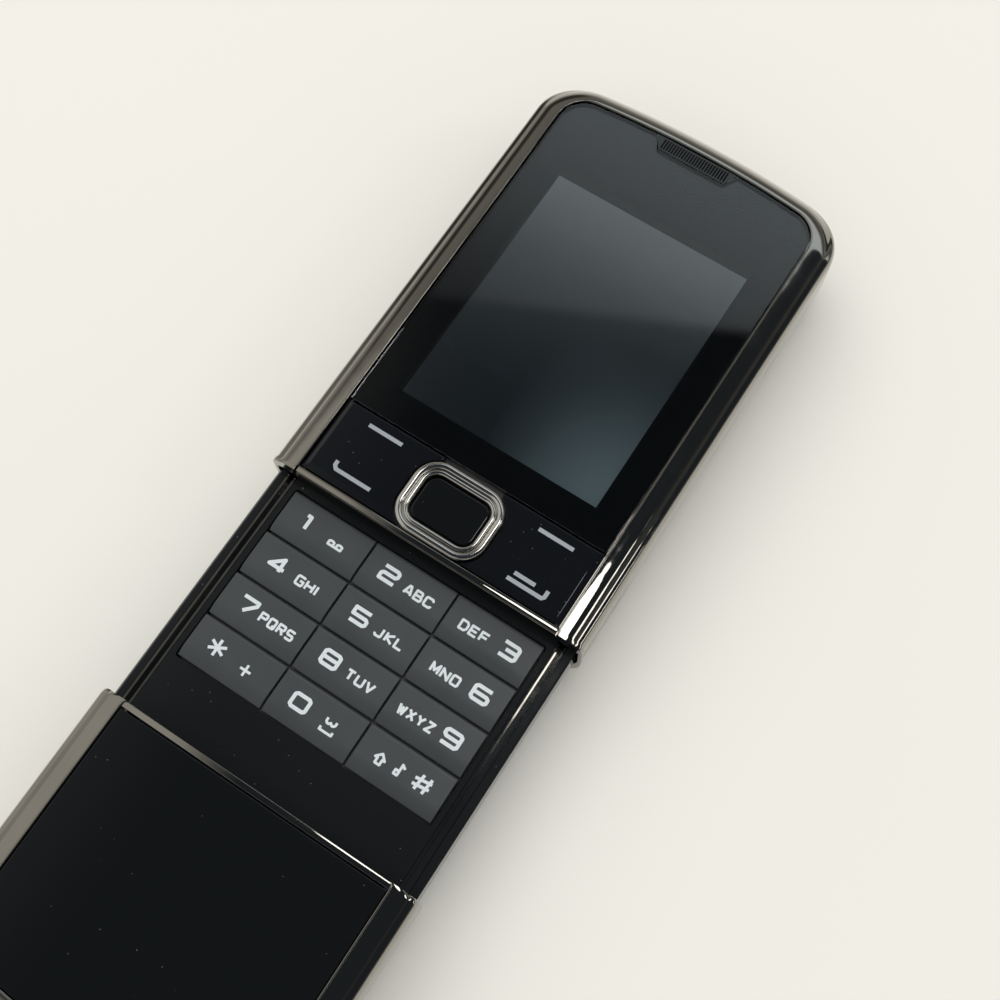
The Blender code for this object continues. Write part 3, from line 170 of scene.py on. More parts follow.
def make_room():
    world = bpy.data.worlds.new("soft_studio")
    bpy.context.scene.world = world
    world.use_nodes = True
    tree = world.node_tree
    tree.nodes.clear()
    direction = add_node(tree, "ShaderNodeTexCoord").outputs["Generated"]
    parts = add_node(tree, "ShaderNodeSeparateXYZ", {0: direction}).outputs
    across, ahead, height = parts["X"], parts["Y"], parts["Z"]
    left = blend(tree, fade(tree, ahead, BEAM_START), LEFT_PALE, LEFT_BEAM)
    left = blend(tree, fade(tree, height, LEFT_FOOT), left, ROOM_WALL)
    cabinet = overlap(tree, towards(tree, direction, CABINET_SIDE, CABINET_FRONT),
                      fade(tree, across, CABINET_END), fade(tree, height, CABINET_TOP),
                      fade(tree, height, CABINET_FOOT))
    walls = blend(tree, cabinet, left, CABINET)
    right = overlap(tree, fade(tree, height, RIGHT_START), fade(tree, height, RIGHT_TOP))
    right = blend(tree, right, RIGHT_FOOT, RIGHT_WALL)
    low = blend(tree, fade(tree, across, LEFT_TO_RIGHT), walls, right)
    room = blend(tree, towards(tree, direction, LEFT_SIDE, LEFT_REACH), ROOM_DARK, walls)
    room = blend(tree, fade(tree, height, DARK_FOOT), room, low)
    slope = calculate(tree, "DIVIDE", ahead, height)
    ceiling = blend(tree, fade(tree, slope, CEILING_PALER), CEILING_NEAR, ROOM_CEILING)
    ceiling = blend(tree, towards(tree, direction, CEILING_FAR, CEILING_END), ceiling, ROOM_FAR)
    above = overlap(tree, towards(tree, direction, CEILING_SIDE, CEILING_EDGE),
                    towards(tree, direction, CEILING_LEFT, CEILING_LEFT_EDGE),
                    fade(tree, height, CEILING_FOOT))
    room = blend(tree, above, room, ceiling)
    path = add_node(tree, "ShaderNodeLightPath")
    seen = blend(tree, path.outputs["Is Camera Ray"], room, BACKGROUND)
    seen = blend(tree, path.outputs["Is Diffuse Ray"], seen, AMBIENT)
    sky = add_node(tree, "ShaderNodeBackground", {"Color": seen})
    add_node(tree, "ShaderNodeOutputWorld", {"Surface": sky.outputs[0]})


def soft_panel(name, centre, size, radiance, shape="RECTANGLE", turn=0.0, reflected=True):
    """A flat lamp that faces the phone, with a given brightness of its surface and turn of its long side."""
    data = bpy.data.lights.new(name, "AREA")
    data.shape = shape
    data.size, data.size_y = size
    round_share = math.pi / 4 if shape == "ELLIPSE" else 1.0
    data.energy = radiance * math.pi * size[0] * size[1] * round_share
    data.color = LAMP_COLOUR
    made = bpy.data.objects.new(name, data)
    bpy.context.scene.collection.objects.link(made)
    made.location = centre
    made.rotation_mode = "QUATERNION"
    away = Vector(centre).normalized()
    along = Vector((math.cos(turn), math.sin(turn), 0.0))
    along = (along - along.dot(away) * away).normalized()
    made.rotation_quaternion = Matrix((along, away.cross(along), away)).transposed().to_quaternion()
    made.visible_glossy = reflected
    made.visible_transmission = reflected


make_room()
soft_panel("strip_panel", (0.204, 0.30, 1.2), (0.56, 0.22), radiance=4.8, shape="ELLIPSE",
           turn=math.radians(20))
soft_panel("small_panel", (1.74, 0.84, 1.2), (0.60, 0.30), radiance=3.4, shape="ELLIPSE")
soft_panel("table_light", (-0.6, 0.5, 1.3), (1.4, 1.4), radiance=1.2, reflected=False)
bpy.context.scene.view_settings.view_transform = "Standard"
print("room, two bright panels and one soft lamp")

# %% [markdown]
# Four effects come back on several finishes, so each is a shader group. Dust is a scatter of tiny cells of
# which only some are kept. Smears are broad soft changes in roughness, as fingers leave them. Mould grain is
# the fine texture of satin plastic. Brushing is noise stretched along one direction, as on pressed steel.

# %% Shared surface effects


def object_place(tree):
    return add_node(tree, "ShaderNodeTexCoord").outputs["Object"]


def noise(tree, scale, detail=2.0, distortion=0.0, place=None):
    """Soft random clouds over a surface, from 0 to 1."""
    place = object_place(tree) if place is None else place
    inputs = {"Vector": place, "Scale": scale, "Detail": detail, "Distortion": distortion}
    return add_node(tree, "ShaderNodeTexNoise", inputs).outputs["Fac"]


def start_group(name, inputs, outputs):
    """An empty shader group with named numbers: what it is given, and its node for the results."""
    group = bpy.data.node_groups.new(name, "ShaderNodeTree")
    for socket_name, value in inputs.items():
        socket = group.interface.new_socket(name=socket_name, in_out="INPUT", socket_type="NodeSocketFloat")
        socket.default_value = value
    for socket_name in outputs:
        group.interface.new_socket(name=socket_name, in_out="OUTPUT", socket_type="NodeSocketFloat")
    return group, add_node(group, "NodeGroupInput").outputs, add_node(group, "NodeGroupOutput")


def dust_group():
    group, given, result = start_group("dust", {"Scale": 900.0, "Share": 0.3, "Size": 0.06}, ("Mask",))
    cells = add_node(group, "ShaderNodeTexVoronoi", {"Vector": object_place(group), "Scale": given["Scale"]})
    near = calculate(group, "LESS_THAN", cells.outputs["Distance"], given["Size"])
    tone = add_node(group, "ShaderNodeSeparateColor", {0: cells.outputs["Color"]})
    kept = calculate(group, "LESS_THAN", tone.outputs[0], given["Share"])
    feed(group, result, {"Mask": overlap(group, near, kept)})
    return group


def smear_group():
    starts = {"Scale": 60.0, "Clean": 0.04, "Smeared": 0.12}
    group, given, result = start_group("smears", starts, ("Roughness",))
    inputs = {"Value": noise(group, given["Scale"], detail=4.0, distortion=0.8), "From Min": 0.45,
              "From Max": 0.75, "To Min": given["Clean"], "To Max": given["Smeared"]}
    spread = add_node(group, "ShaderNodeMapRange", inputs)
    feed(group, result, {"Roughness": spread.outputs["Result"]})
    return group


def grain_group():
    group, given, result = start_group("mould_grain", {"Scale": 6000.0}, ("Height", "Tone"))
    feed(group, result, {"Height": noise(group, given["Scale"]), "Tone": noise(group, 180.0)})
    return group


def brushing_group():
    group, given, result = start_group("brushing", {"Across": 9000.0, "Along": 300.0}, ("Height", "Tone"))
    inputs = {"X": given["Across"], "Y": given["Along"], "Z": given["Across"]}
    size = add_node(group, "ShaderNodeCombineXYZ", inputs)
    stretched = add_node(group, "ShaderNodeVectorMath", {0: object_place(group), 1: size.outputs[0]},
                         operation="MULTIPLY")
    lines = noise(group, 1.0, detail=3.0, place=stretched.outputs[0])
    feed(group, result, {"Height": lines, "Tone": lines})
    return group


GROUPS = {"dust": dust_group(), "smears": smear_group(), "grain": grain_group(), "brushing": brushing_group()}
print("shader groups:", ", ".join(sorted(GROUPS)))

# %% [markdown]
# A material starts as a Principled shader with its plain values set on its own sockets. What varies over the
# surface is then linked in: a colour mixed between two tones, a roughness from the smears, or a small bump.
# Many finishes need no more than a colour that wavers between two close tones, so they share one function.

# %% Building blocks for materials


def start_material(name, colour, roughness, metallic=0.0):
    made = bpy.data.materials.new(name)
    made.use_nodes = True
    shader = made.node_tree.nodes["Principled BSDF"]
    feed(made.node_tree, shader, {"Base Color": colour, "Roughness": roughness, "Metallic": metallic})
    return made, made.node_tree, shader


def effect(tree, group_name, **values):
    """Places a shared group in a material with its own values and gives its results."""
    return add_node(tree, "ShaderNodeGroup", values, node_tree=GROUPS[group_name]).outputs


def smears(tree, scale, clean, smeared):
    return effect(tree, "smears", Scale=scale, Clean=clean, Smeared=smeared)["Roughness"]


def bump(tree, height, distance):
    return add_node(tree, "ShaderNodeBump", {"Distance": distance, "Height": height}).outputs["Normal"]


def mottled(name, colour, tones, roughness, scale, detail=2.0, metallic=0.0, more=None):
    """A finish whose colour wavers between two tones; `more` gives further inputs of its shader."""
    made, tree, shader = start_material(name, colour, roughness, metallic)
    feed(tree, shader, {"Base Color": blend(tree, noise(tree, scale, detail), *tones)})
    feed(tree, shader, more or {})
    return made


# %% [markdown]
# The frames, the back and the rails are plated in dark, slightly brown chrome, and the ring in a paler one.
# It is a full metal with hardly any roughness, and its colour is that of the plating itself. Polishing
# leaves a faint waviness, which makes the white strips on the band wander, so a very low broad bump is
# added.

# %% Gunmetal chrome


def chrome_plating(name, dark, pale, clean, smeared):
    made, tree, shader = start_material(name, dark, clean, 1.0)
    feed(tree, shader, {"Base Color": blend(tree, noise(tree, 140.0), dark, pale),
                        "Roughness": smears(tree, 70.0, clean, smeared),
                        "Normal": bump(tree, noise(tree, 260.0, detail=1.0), 0.02 * MM)})
    return made


CHROME = chrome_plating("gunmetal_chrome", (0.31, 0.295, 0.265), (0.36, 0.345, 0.315), 0.035, 0.11)
RING_CHROME = chrome_plating("ring_chrome", (0.60, 0.585, 0.55), (0.66, 0.645, 0.61), 0.13, 0.20)
print("two platings")

# %% [markdown]
# Gloss black comes in four kinds. The deck, the pads, and the lower panel with the centre key are gloss
# mouldings, a hard clear surface over black with some dust on it, most on the pads and least on the panel.
# The window's print is matt black paint, and its gloss is that of the clear sheet in front.

# %% Gloss blacks and the clear window
DUST_TONE = (0.16, 0.17, 0.18)


def gloss_black(name, colour, clean, smeared, dust_share):
    made, tree, shader = start_material(name, colour, clean)
    dust = effect(tree, "dust", Scale=1400.0, Share=dust_share, Size=0.075)["Mask"]
    feed(tree, shader, {"Base Color": blend(tree, dust, colour, DUST_TONE),
                        "Roughness": smears(tree, 55.0, clean, smeared)})
    return made


DECK_BLACK = gloss_black("deck_black", (0.010, 0.011, 0.012), 0.05, 0.14, 0.193)
PAD_BLACK = gloss_black("pad_black", (0.006, 0.007, 0.009), 0.02, 0.08, 0.22)
PANEL_BLACK = gloss_black("panel_black", (0.006, 0.007, 0.008), 0.02, 0.07, 0.055)
CLEAR = mottled("clear_window", (0.96, 0.98, 0.98), ((0.95, 0.97, 0.97), (0.97, 0.99, 0.99)), 0.0, 300.0,
                more={"Transmission Weight": 1.0, "IOR": 1.48})
PRINT = mottled("window_print", (0.004, 0.005, 0.006), ((0.003, 0.004, 0.005), (0.005, 0.006, 0.007)), 0.5,
                900.0, more={"Specular IOR Level": 0.0})
print("three gloss blacks, the clear sheet and its print")

# %% [markdown]
# A dark display is not black. Its polarising film is a smooth grey-blue sheet. Its colour carries a painted
# reflection: it is painted lighter up its middle, towards its upper end and at its lower right corner, where
# the room's sheen lies on it. Little light reaches it through the sheet in front, so its tones are written
# much paler than they show, and they are fitted to the light of this one room.

# %% Display film
# The low tone is the film's own colour; the middle, top and lower right corner tones are painted reflection
# of the room on the film.
FILM_LOW = (0.015, 0.026, 0.034, 1.0)
FILM_MIDDLE_PAINTED_REFLECTION = (0.042, 0.056, 0.067, 1.0)
FILM_CORNER_PAINTED_REFLECTION = (0.320, 0.430, 0.490, 1.0)
FILM_TOP_PAINTED_REFLECTION = (0.150, 0.175, 0.185, 1.0)
MIDDLE_RISE = (20 * MM, 44 * MM)
HIGH_RISE = (43 * MM, 56 * MM)
CORNER_DROP = (40 * MM, 18 * MM)
CORNER_RIGHT = (-3 * MM, 15 * MM)


def display_film():
    made, tree, shader = start_material("display_film", (0.02, 0.03, 0.035), 0.16)
    parts = add_node(tree, "ShaderNodeSeparateXYZ", {0: object_place(tree)}).outputs
    right, up = parts["X"], parts["Y"]
    # Painted reflection: the film's colour is mixed lighter up its middle, at its lower right corner and at
    # its top.
    tones = blend(tree, fade(tree, up, MIDDLE_RISE), FILM_LOW, FILM_MIDDLE_PAINTED_REFLECTION)
    corner = overlap(tree, fade(tree, up, CORNER_DROP), fade(tree, right, CORNER_RIGHT))
    tones = blend(tree, corner, tones, FILM_CORNER_PAINTED_REFLECTION)
    tones = blend(tree, fade(tree, up, HIGH_RISE), tones, FILM_TOP_PAINTED_REFLECTION)
    feed(tree, shader, {"Base Color": tones, "IOR": 1.8})
    return made


FILM = display_film()
FILM_RIM = mottled("display_rim", (0.015, 0.018, 0.017), ((0.013, 0.016, 0.015), (0.017, 0.020, 0.019)), 0.5,
                   400.0, more={"Specular IOR Level": 0.0})
print("the film and its matt rim")

# %% [markdown]
# The number keys are satin plastic: dark grey, with a fine mould grain that spreads reflections. Their
# figures are printed in a cool white ink, and the marks on the pads in a dimmer grey one.

# %% Key plastic and inks


def key_plastic():
    made, tree, shader = start_material("key_plastic", (0.050, 0.056, 0.060), 0.34)
    grain = effect(tree, "grain", Scale=9000.0)
    tones = blend(tree, grain["Tone"], (0.044, 0.050, 0.054), (0.056, 0.062, 0.066))
    feed(tree, shader, {"Base Color": tones,
                        "Roughness": smears(tree, 90.0, 0.30, 0.42),
                        "Normal": bump(tree, grain["Height"], 0.012 * MM)})
    return made


def ink(name, colour, worn):
    return mottled(name, colour, (colour, worn), 0.45, 1800.0, detail=3.0)


KEY = key_plastic()
KEY_INK = ink("key_ink", (0.70, 0.75, 0.78), (0.60, 0.65, 0.68))
PAD_INK = ink("pad_ink", (0.34, 0.37, 0.40), (0.28, 0.31, 0.34))
print("key plastic and two inks")

# %% [markdown]
# The pieces inside and on the back get their own finishes too, since the battery bay and the sleeve can be
# looked into: pressed steel with brushing, matt silicone, a green board with traces, fine-grained structural
# plastic, the battery's wrap and gold-plated contacts.

# %% Steel, rubber, board, plastic, battery wrap, gold


def pressed_steel():
    made, tree, shader = start_material("pressed_steel", (0.56, 0.55, 0.53), 0.25, 1.0)
    brushing = effect(tree, "brushing", Across=9000.0, Along=250.0)
    feed(tree, shader, {"Base Color": blend(tree, brushing["Tone"], (0.50, 0.49, 0.47), (0.62, 0.61, 0.59)),
                        "Roughness": smears(tree, 80.0, 0.20, 0.36),
                        "Normal": bump(tree, brushing["Height"], 0.004 * MM)})
    return made


def grained(name, colour, lighter, roughness, scale, depth):
    made, tree, shader = start_material(name, colour, roughness)
    grain = effect(tree, "grain", Scale=scale)
    feed(tree, shader, {"Base Color": blend(tree, grain["Tone"], colour, lighter),
                        "Normal": bump(tree, grain["Height"], depth)})
    return made


def board_lacquer():
    made, tree, shader = start_material("board_lacquer", (0.02, 0.12, 0.06), 0.35)
    inputs = {"Vector": object_place(tree), "Scale": 500.0, "Mortar Size": 0.06, "Mortar": (0.05, 0.22, 0.10),
              "Color1": (0.018, 0.11, 0.055), "Color2": (0.022, 0.14, 0.07)}
    traces = add_node(tree, "ShaderNodeTexBrick", inputs)
    feed(tree, shader, {"Base Color": traces.outputs["Color"]})
    return made


STEEL = pressed_steel()
RUBBER = grained("silicone", (0.10, 0.10, 0.10), (0.14, 0.14, 0.14), 0.8, 5000.0, 0.02 * MM)
PLASTIC = grained("structural_plastic", (0.022, 0.022, 0.023), (0.034, 0.034, 0.035), 0.5, 4000.0, 0.02 * MM)
WRAP = grained("battery_wrap", (0.14, 0.15, 0.16), (0.19, 0.20, 0.21), 0.42, 1500.0, 0.01 * MM)
BOARD = board_lacquer()
GOLD = mottled("gold_contact", (0.80, 0.58, 0.25), ((0.74, 0.52, 0.22), (0.86, 0.64, 0.30)), 0.22, 2500.0,
               metallic=1.0)
print("materials:", len(bpy.data.materials))

# %% [markdown]
# Every piece is modelled as by hand: a primitive, then edit-mode operators, then modifiers that are applied.
# An operator works on all that is selected, so each piece starts with nothing selected, and faces or edges
# are then picked by their place or the way they face.

# %% Helpers for modelling
NEAR = 0.01 * MM


def start_fresh():
    """Leaves edit mode and selects nothing."""
    if bpy.context.object and bpy.context.object.mode == "EDIT":
        bpy.ops.object.mode_set(mode="OBJECT")
    bpy.ops.object.select_all(action="DESELECT")


def take(*pieces):
    """Selects only these pieces, the first as the active one."""
    start_fresh()
    for piece in pieces:
        piece.select_set(True)
    bpy.context.view_layer.objects.active = pieces[0]


def settle(piece):
    """Writes a piece's place, turn and scale into its mesh."""
    take(piece)
    bpy.ops.object.transform_apply(location=True, rotation=True, scale=True)


def add_block(name, low, high):
    """A block between two corners, left in edit mode."""
    start_fresh()
    low, high = Vector(low), Vector(high)
    bpy.ops.mesh.primitive_cube_add(size=1.0, location=(low + high) / 2, scale=high - low)
    piece = bpy.context.object
    piece.name = name
    settle(piece)
    bpy.ops.object.mode_set(mode="EDIT")
    return piece


def pick(piece, kind, test):
    """Selects the points, edges or faces that pass a test of their middle and themselves."""
    bpy.ops.mesh.select_mode(type=kind)
    bpy.ops.mesh.select_all(action="DESELECT")
    mesh = bmesh.from_edit_mesh(piece.data)
    mesh.normal_update()
    if kind == "VERT":
        chosen = [point for point in mesh.verts if test(point.co, point)]
    elif kind == "EDGE":
        chosen = [edge for edge in mesh.edges if test((edge.verts[0].co + edge.verts[1].co) / 2, edge)]
    else:
        chosen = [face for face in mesh.faces if test(face.calc_center_bounds(), face)]
    for part in chosen:
        part.select_set(True)
    mesh.select_flush_mode()
    bmesh.update_edit_mesh(piece.data)


def move(x=0.0, y=0.0, z=0.0):
    bpy.ops.transform.translate(value=(x, y, z))


def extrude(x=0.0, y=0.0, z=0.0):
    bpy.ops.mesh.extrude_region_move(TRANSFORM_OT_translate={"value": (x, y, z)})


def slice_at(place, across, part=False):
    """Cuts the whole piece with a plane, and may throw away what lies behind it and close the cut."""
    bpy.ops.mesh.select_all(action="SELECT")
    bpy.ops.mesh.bisect(plane_co=place, plane_no=across, use_fill=part, clear_inner=part,
                        threshold=0.0001 * MM)


def close_up():
    """Merges doubled points and turns all faces outwards."""
    bpy.ops.mesh.select_all(action="SELECT")
    bpy.ops.mesh.remove_doubles(threshold=0.0005 * MM)
    bpy.ops.mesh.normals_make_consistent(inside=False)


def apply_modifier(piece, kind, **settings):
    take(piece)
    change = piece.modifiers.new(kind.lower(), kind)
    for name, value in settings.items():
        setattr(change, name, value)
    bpy.ops.object.modifier_apply(modifier=change.name)


def round_edges(piece, width, segments=3, angle=30.0):
    apply_modifier(piece, "BEVEL", width=width, segments=segments, limit_method="ANGLE",
                   angle_limit=math.radians(angle), use_clamp_overlap=True)


def carve(piece, tool):
    """Cuts a tool out of a piece and removes the tool."""
    apply_modifier(piece, "BOOLEAN", operation="DIFFERENCE", object=tool, solver="EXACT")
    bpy.data.objects.remove(tool)


def merge_into(piece, *others):
    take(piece, *others)
    bpy.ops.object.join()


def smooth(piece, angle=30.0, flat=False):
    """Shades a piece smooth. On a flat piece the large faces keep their own normals, as on a real sheet."""
    take(piece)
    bpy.ops.object.shade_smooth_by_angle(angle=math.radians(angle))
    if flat:
        apply_modifier(piece, "WEIGHTED_NORMAL", keep_sharp=True, weight=100)


def finish_piece(piece, body, slot, surface, *nodes):
    """Gives a piece its finish, ties it to its body, and hides the nodes that it stands for; its slot is not
    used.
    """
    start_fresh()
    piece.data.materials.clear()
    piece.data.materials.append(surface)
    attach(piece, body)
    if nodes:
        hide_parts(*nodes)
    print("%-18s %6d faces" % (piece.name, len(piece.data.polygons)))


# %% [markdown]
# Seen from the front, both halves have the same rounded end: a long shallow crown between two tighter
# corners. The plan is drawn by one point that is extruded up the side, spun round each arc and extruded
# back. It is closed into one face, and the frame's section is then climbed in steps by insetting that face,
# because an inset keeps the same distance all round, in the corners too.

# %% The plan of one half
window_low, window_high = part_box("display_window")
back_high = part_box("slider_back")[1]
cover_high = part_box("battery_cover")[1]
panel_low, panel_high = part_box("lower_panel")
shell_low, shell_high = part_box("slider_shell")

CORNER = 8.0 * MM
CROWN = 160.0 * MM
FRAME_BAND = 3.8 * MM
SEAT = 0.15 * MM
HALF_WIDTH = window_high.x + FRAME_BAND + SEAT
TOP_END = shell_high.y
BASE_END = -TOP_END
SLIDER_EDGE = shell_low.y
BASE_EDGE = cover_high.y
FRONT = shell_high.z
GLASS_LOW, GLASS_TOP = window_low.z, window_high.z
TUCK = 2.4 * MM
TUCK_HEIGHT = 7.5 * MM
TUCK_POWER = 2.2
PLAN_MARGIN = 12.0 * MM
CORNER_STEPS = 28
CROWN_STEPS = 20


def side_inset(height):
    """How far the side lies in from the silhouette, where it tucks under towards the back."""
    below = max(0.0, TUCK_HEIGHT - height) / TUCK_HEIGHT
    return TUCK * below ** TUCK_POWER


def plan_face(name, tip_y, edge_y, inset, height):
    """One flat face with the plan of half a phone, facing up, left selected in edit mode."""
    start_fresh()
    facing = 1 if tip_y > edge_y else -1
    side_x = HALF_WIDTH - inset
    corner_x = HALF_WIDTH - CORNER
    rise = math.sqrt((CROWN - CORNER) ** 2 - corner_x ** 2)
    lean = math.atan2(corner_x, rise)
    crown_y = tip_y - facing * CROWN
    corner_y = crown_y + facing * rise
    bpy.ops.mesh.primitive_plane_add(size=MM)
    piece = bpy.context.object
    piece.name = name
    bpy.ops.object.mode_set(mode="EDIT")
    bpy.ops.mesh.select_mode(type="VERT")
    bpy.ops.mesh.select_all(action="SELECT")
    bpy.ops.mesh.merge(type="CENTER")
    move(-side_x, edge_y, height)
    extrude(y=corner_y - edge_y)
    bend = math.pi / 2 - lean
    arcs = ((CORNER_STEPS, bend, -corner_x, corner_y), (CROWN_STEPS, 2 * lean, 0.0, crown_y),
            (CORNER_STEPS, bend, corner_x, corner_y))
    for steps, angle, centre_x, centre_y in arcs:
        bpy.ops.mesh.spin(steps=steps, angle=facing * angle, center=(centre_x, centre_y, height),
                          axis=(0, 0, 1))
    extrude(y=edge_y - corner_y)
    bpy.ops.mesh.select_all(action="SELECT")
    bpy.ops.mesh.edge_face_add()
    face = bmesh.from_edit_mesh(piece.data).faces[:][0]
    face.normal_update()
    if face.normal.z < 0:
        bpy.ops.mesh.flip_normals()
    bpy.ops.mesh.select_mode(type="FACE")
    return piece


def climb(section, way=1):
    """Carries the selected face along a section of (inset, height) points, upwards or downwards."""
    for (inset_before, height_before), (inset, height) in zip(section, section[1:]):
        inwards = inset - inset_before
        rise = height - height_before
        if inwards > 0.0001 * MM:
            bpy.ops.mesh.inset(thickness=inwards, depth=way * rise)
        else:
            extrude(z=rise)


def arc_points(centre, reach, start, end, steps):
    """Points of an elliptical arc in a section; zero degrees is its outer side and ninety its top."""
    points = []
    for step in range(steps + 1):
        angle = math.radians(start + (end - start) * step / steps)
        points.append((centre[0] - reach[0] * math.cos(angle), centre[1] + reach[1] * math.sin(angle)))
    return points


def tuck_points(start, end, steps, wall=0.0):
    """Points down the side of the phone, from one height to a lower one."""
    heights = [start + (end - start) * step / steps for step in range(steps + 1)]
    return [(side_inset(height) + wall, height) for height in heights]


def pick_cap(piece, height, facing_z):
    """Selects the one flat end face that lies at a height and faces up or down."""
    def is_cap(middle, face):
        level = abs(middle.z - height) < NEAR and face.normal.z * facing_z > 0.9
        return level and len(face.verts) > CORNER_STEPS
    pick(piece, "FACE", is_cap)


def plan_slab(name, tip_y, edge_y, top_section, bottom_section, trim=False):
    """A closed plate with the phone's plan: its section is climbed both ways from its widest height."""
    first_inset, first_height = top_section[0]
    overshoot = PLAN_MARGIN if trim else 0.0
    facing = 1 if tip_y > edge_y else -1
    piece = plan_face(name, tip_y, edge_y - facing * overshoot, first_inset, first_height)
    climb(top_section)
    bpy.ops.mesh.select_mode(type="FACE")
    if len(bottom_section) > 1:
        pick_cap(piece, first_height, -1)
        climb(bottom_section, way=-1)
    if trim:
        slice_at((0, edge_y, 0), (0, facing, 0), part=True)
    close_up()
    return piece


print("half width %.2f mm, open length %.2f mm" % (HALF_WIDTH / MM, 2 * TOP_END / MM))

# %% [markdown]
# The frame is one rail that runs up one side, round the end and down the other. Its section, from outside
# in, is an upright side, a tight shoulder, a broad band that is only gently convex, and a fine raised rim
# against the glass. The band is drawn by its tilt, because the tilt decides which part of the room it shows.
# The outer skin and the inner wall are made in the same way and bridged, and the surplus past the mouth is
# sliced off. A small wall across the mouth makes the bright lip between pads and keys.

# %% Frames of both halves
SHELL_LOW = shell_low.z
RIM_CENTRE = (3.66 * MM, FRONT - 0.15 * MM)
RIM_REACH = (0.14 * MM, 0.15 * MM)
BAND_TOP = FRONT - 0.09 * MM
BAND_TILTS = ((3.50 * MM, 3), (2.50 * MM, 12), (1.90 * MM, 24), (1.50 * MM, 33), (1.25 * MM, 35),
              (1.00 * MM, 27), (0.80 * MM, 20), (0.60 * MM, 25), (0.45 * MM, 42), (0.25 * MM, 64), (0.0, 86))
BAND_STEPS = 4
END_DROP = 1.8 * MM
DROP_FULL = 2.4 * MM
LEDGE_TOP = GLASS_LOW - SEAT
LEDGE = 0.70 * MM
LEDGE_THICKNESS = 0.60 * MM
WALL = 0.45 * MM
LIP_START = 0.05 * MM
LIP_END = 0.85 * MM
LIP_SHOULDER = 13.1 * MM
LIP_STEP_LOW = 0.80 * MM
LIP_STEP_HIGH = 0.55 * MM
LIP_STEP_DEPTH = 0.15 * MM


def band_points():
    """The band's section from its rim to the side, added up from its tilt, which grows outwards."""
    points = [(BAND_TILTS[0][0], BAND_TOP)]
    for (inset, tilt), (next_inset, next_tilt) in zip(BAND_TILTS, BAND_TILTS[1:]):
        run = (inset - next_inset) / BAND_STEPS
        for step in range(BAND_STEPS):
            angle = math.radians(tilt + (next_tilt - tilt) * (step + 0.5) / BAND_STEPS)
            last_inset, last_height = points[-1]
            points.append((last_inset - run, last_height - run * math.tan(angle)))
    return points


def outer_section():
    """The frame's skin above its widest line, from the side over the band to the window's ledge."""
    section = [(0.0, TUCK_HEIGHT)] + band_points()[::-1]
    section += arc_points(RIM_CENTRE, RIM_REACH, 24, 178, 8)
    section += [(FRAME_BAND, LEDGE_TOP), (FRAME_BAND + LEDGE, LEDGE_TOP),
                (FRAME_BAND + LEDGE, LEDGE_TOP - 0.7 * LEDGE_THICKNESS)]
    return section


def inner_section():
    """The wall's inside, from the widest line up to the underside of the ledge."""
    return [(WALL, TUCK_HEIGHT), (0.53 * MM, 11.89 * MM), (1.26 * MM, 12.53 * MM),
            (2.10 * MM, 13.08 * MM), (FRAME_BAND + LEDGE, LEDGE_TOP - LEDGE_THICKNESS)]


def frame_skin(name, tip_y, edge_y, upper, lower):
    """An open skin: the plan face is carried up one section and down the other, and its caps are deleted."""
    piece = plan_face(name, tip_y, edge_y, *upper[0])
    climb(upper)
    bpy.ops.mesh.delete(type="ONLY_FACE")
    bpy.ops.mesh.select_mode(type="FACE")
    pick_cap(piece, upper[0][1], -1)
    climb(lower, way=-1)
    bpy.ops.mesh.delete(type="ONLY_FACE")
    bpy.ops.object.mode_set(mode="OBJECT")
    return piece


def bridge_at(piece, low, high):
    """Joins the two open borders that lie between two heights."""
    pick(piece, "EDGE", lambda middle, edge: edge.is_boundary and low < middle.z < high)
    bpy.ops.mesh.bridge_edge_loops()


def end_place(x, y, tip_y):
    """How far a point lies in from the silhouette, and its turn round the corner, from 0 to 1 at the end."""
    corner_x = HALF_WIDTH - CORNER
    rise = math.sqrt((CROWN - CORNER) ** 2 - corner_x ** 2)
    from_crown = abs(y) - (abs(tip_y) - CROWN)
    from_corner = from_crown - rise
    if from_corner < 0.0:
        return HALF_WIDTH - abs(x), 0.0
    if abs(x) * rise < corner_x * from_crown:
        return CROWN - math.hypot(x, from_crown), 1.0
    turned = math.atan2(from_corner, abs(x) - corner_x) / math.atan2(rise, corner_x)
    return CORNER - math.hypot(abs(x) - corner_x, from_corner), turned


def slope_end(skin, tip_y):
    """Lowers the band round the end, which slopes down more than the sides do."""
    for point in skin.data.vertices:
        inset, turned = end_place(point.co.x, point.co.y, tip_y)
        share = turned * turned * (3 - 2 * turned)
        out = min(max(1 - inset / BAND_TILTS[0][0], 0.0), 1.0)
        up = min(max((point.co.z - TUCK_HEIGHT) / (FRONT - DROP_FULL - TUCK_HEIGHT), 0.0), 1.0)
        point.co.z -= END_DROP * share * out ** 2 * up


def frame_shell(name, tip_y, edge_y):
    facing = 1 if tip_y > edge_y else -1
    start = edge_y - facing * PLAN_MARGIN
    skin = frame_skin(name, tip_y, start, outer_section(), tuck_points(TUCK_HEIGHT, SHELL_LOW, 14))
    slope_end(skin, tip_y)
    inner_tuck = tuck_points(TUCK_HEIGHT, SHELL_LOW, 6, WALL)
    inside = frame_skin(name + "_inside", tip_y, start, inner_section(), inner_tuck)
    merge_into(skin, inside)
    bpy.ops.object.mode_set(mode="EDIT")
    bridge_at(skin, TUCK_HEIGHT, FRONT)
    bridge_at(skin, 0.0, TUCK_HEIGHT)
    close_up()
    slice_at((0, edge_y, 0), (0, facing, 0), part=True)
    return skin


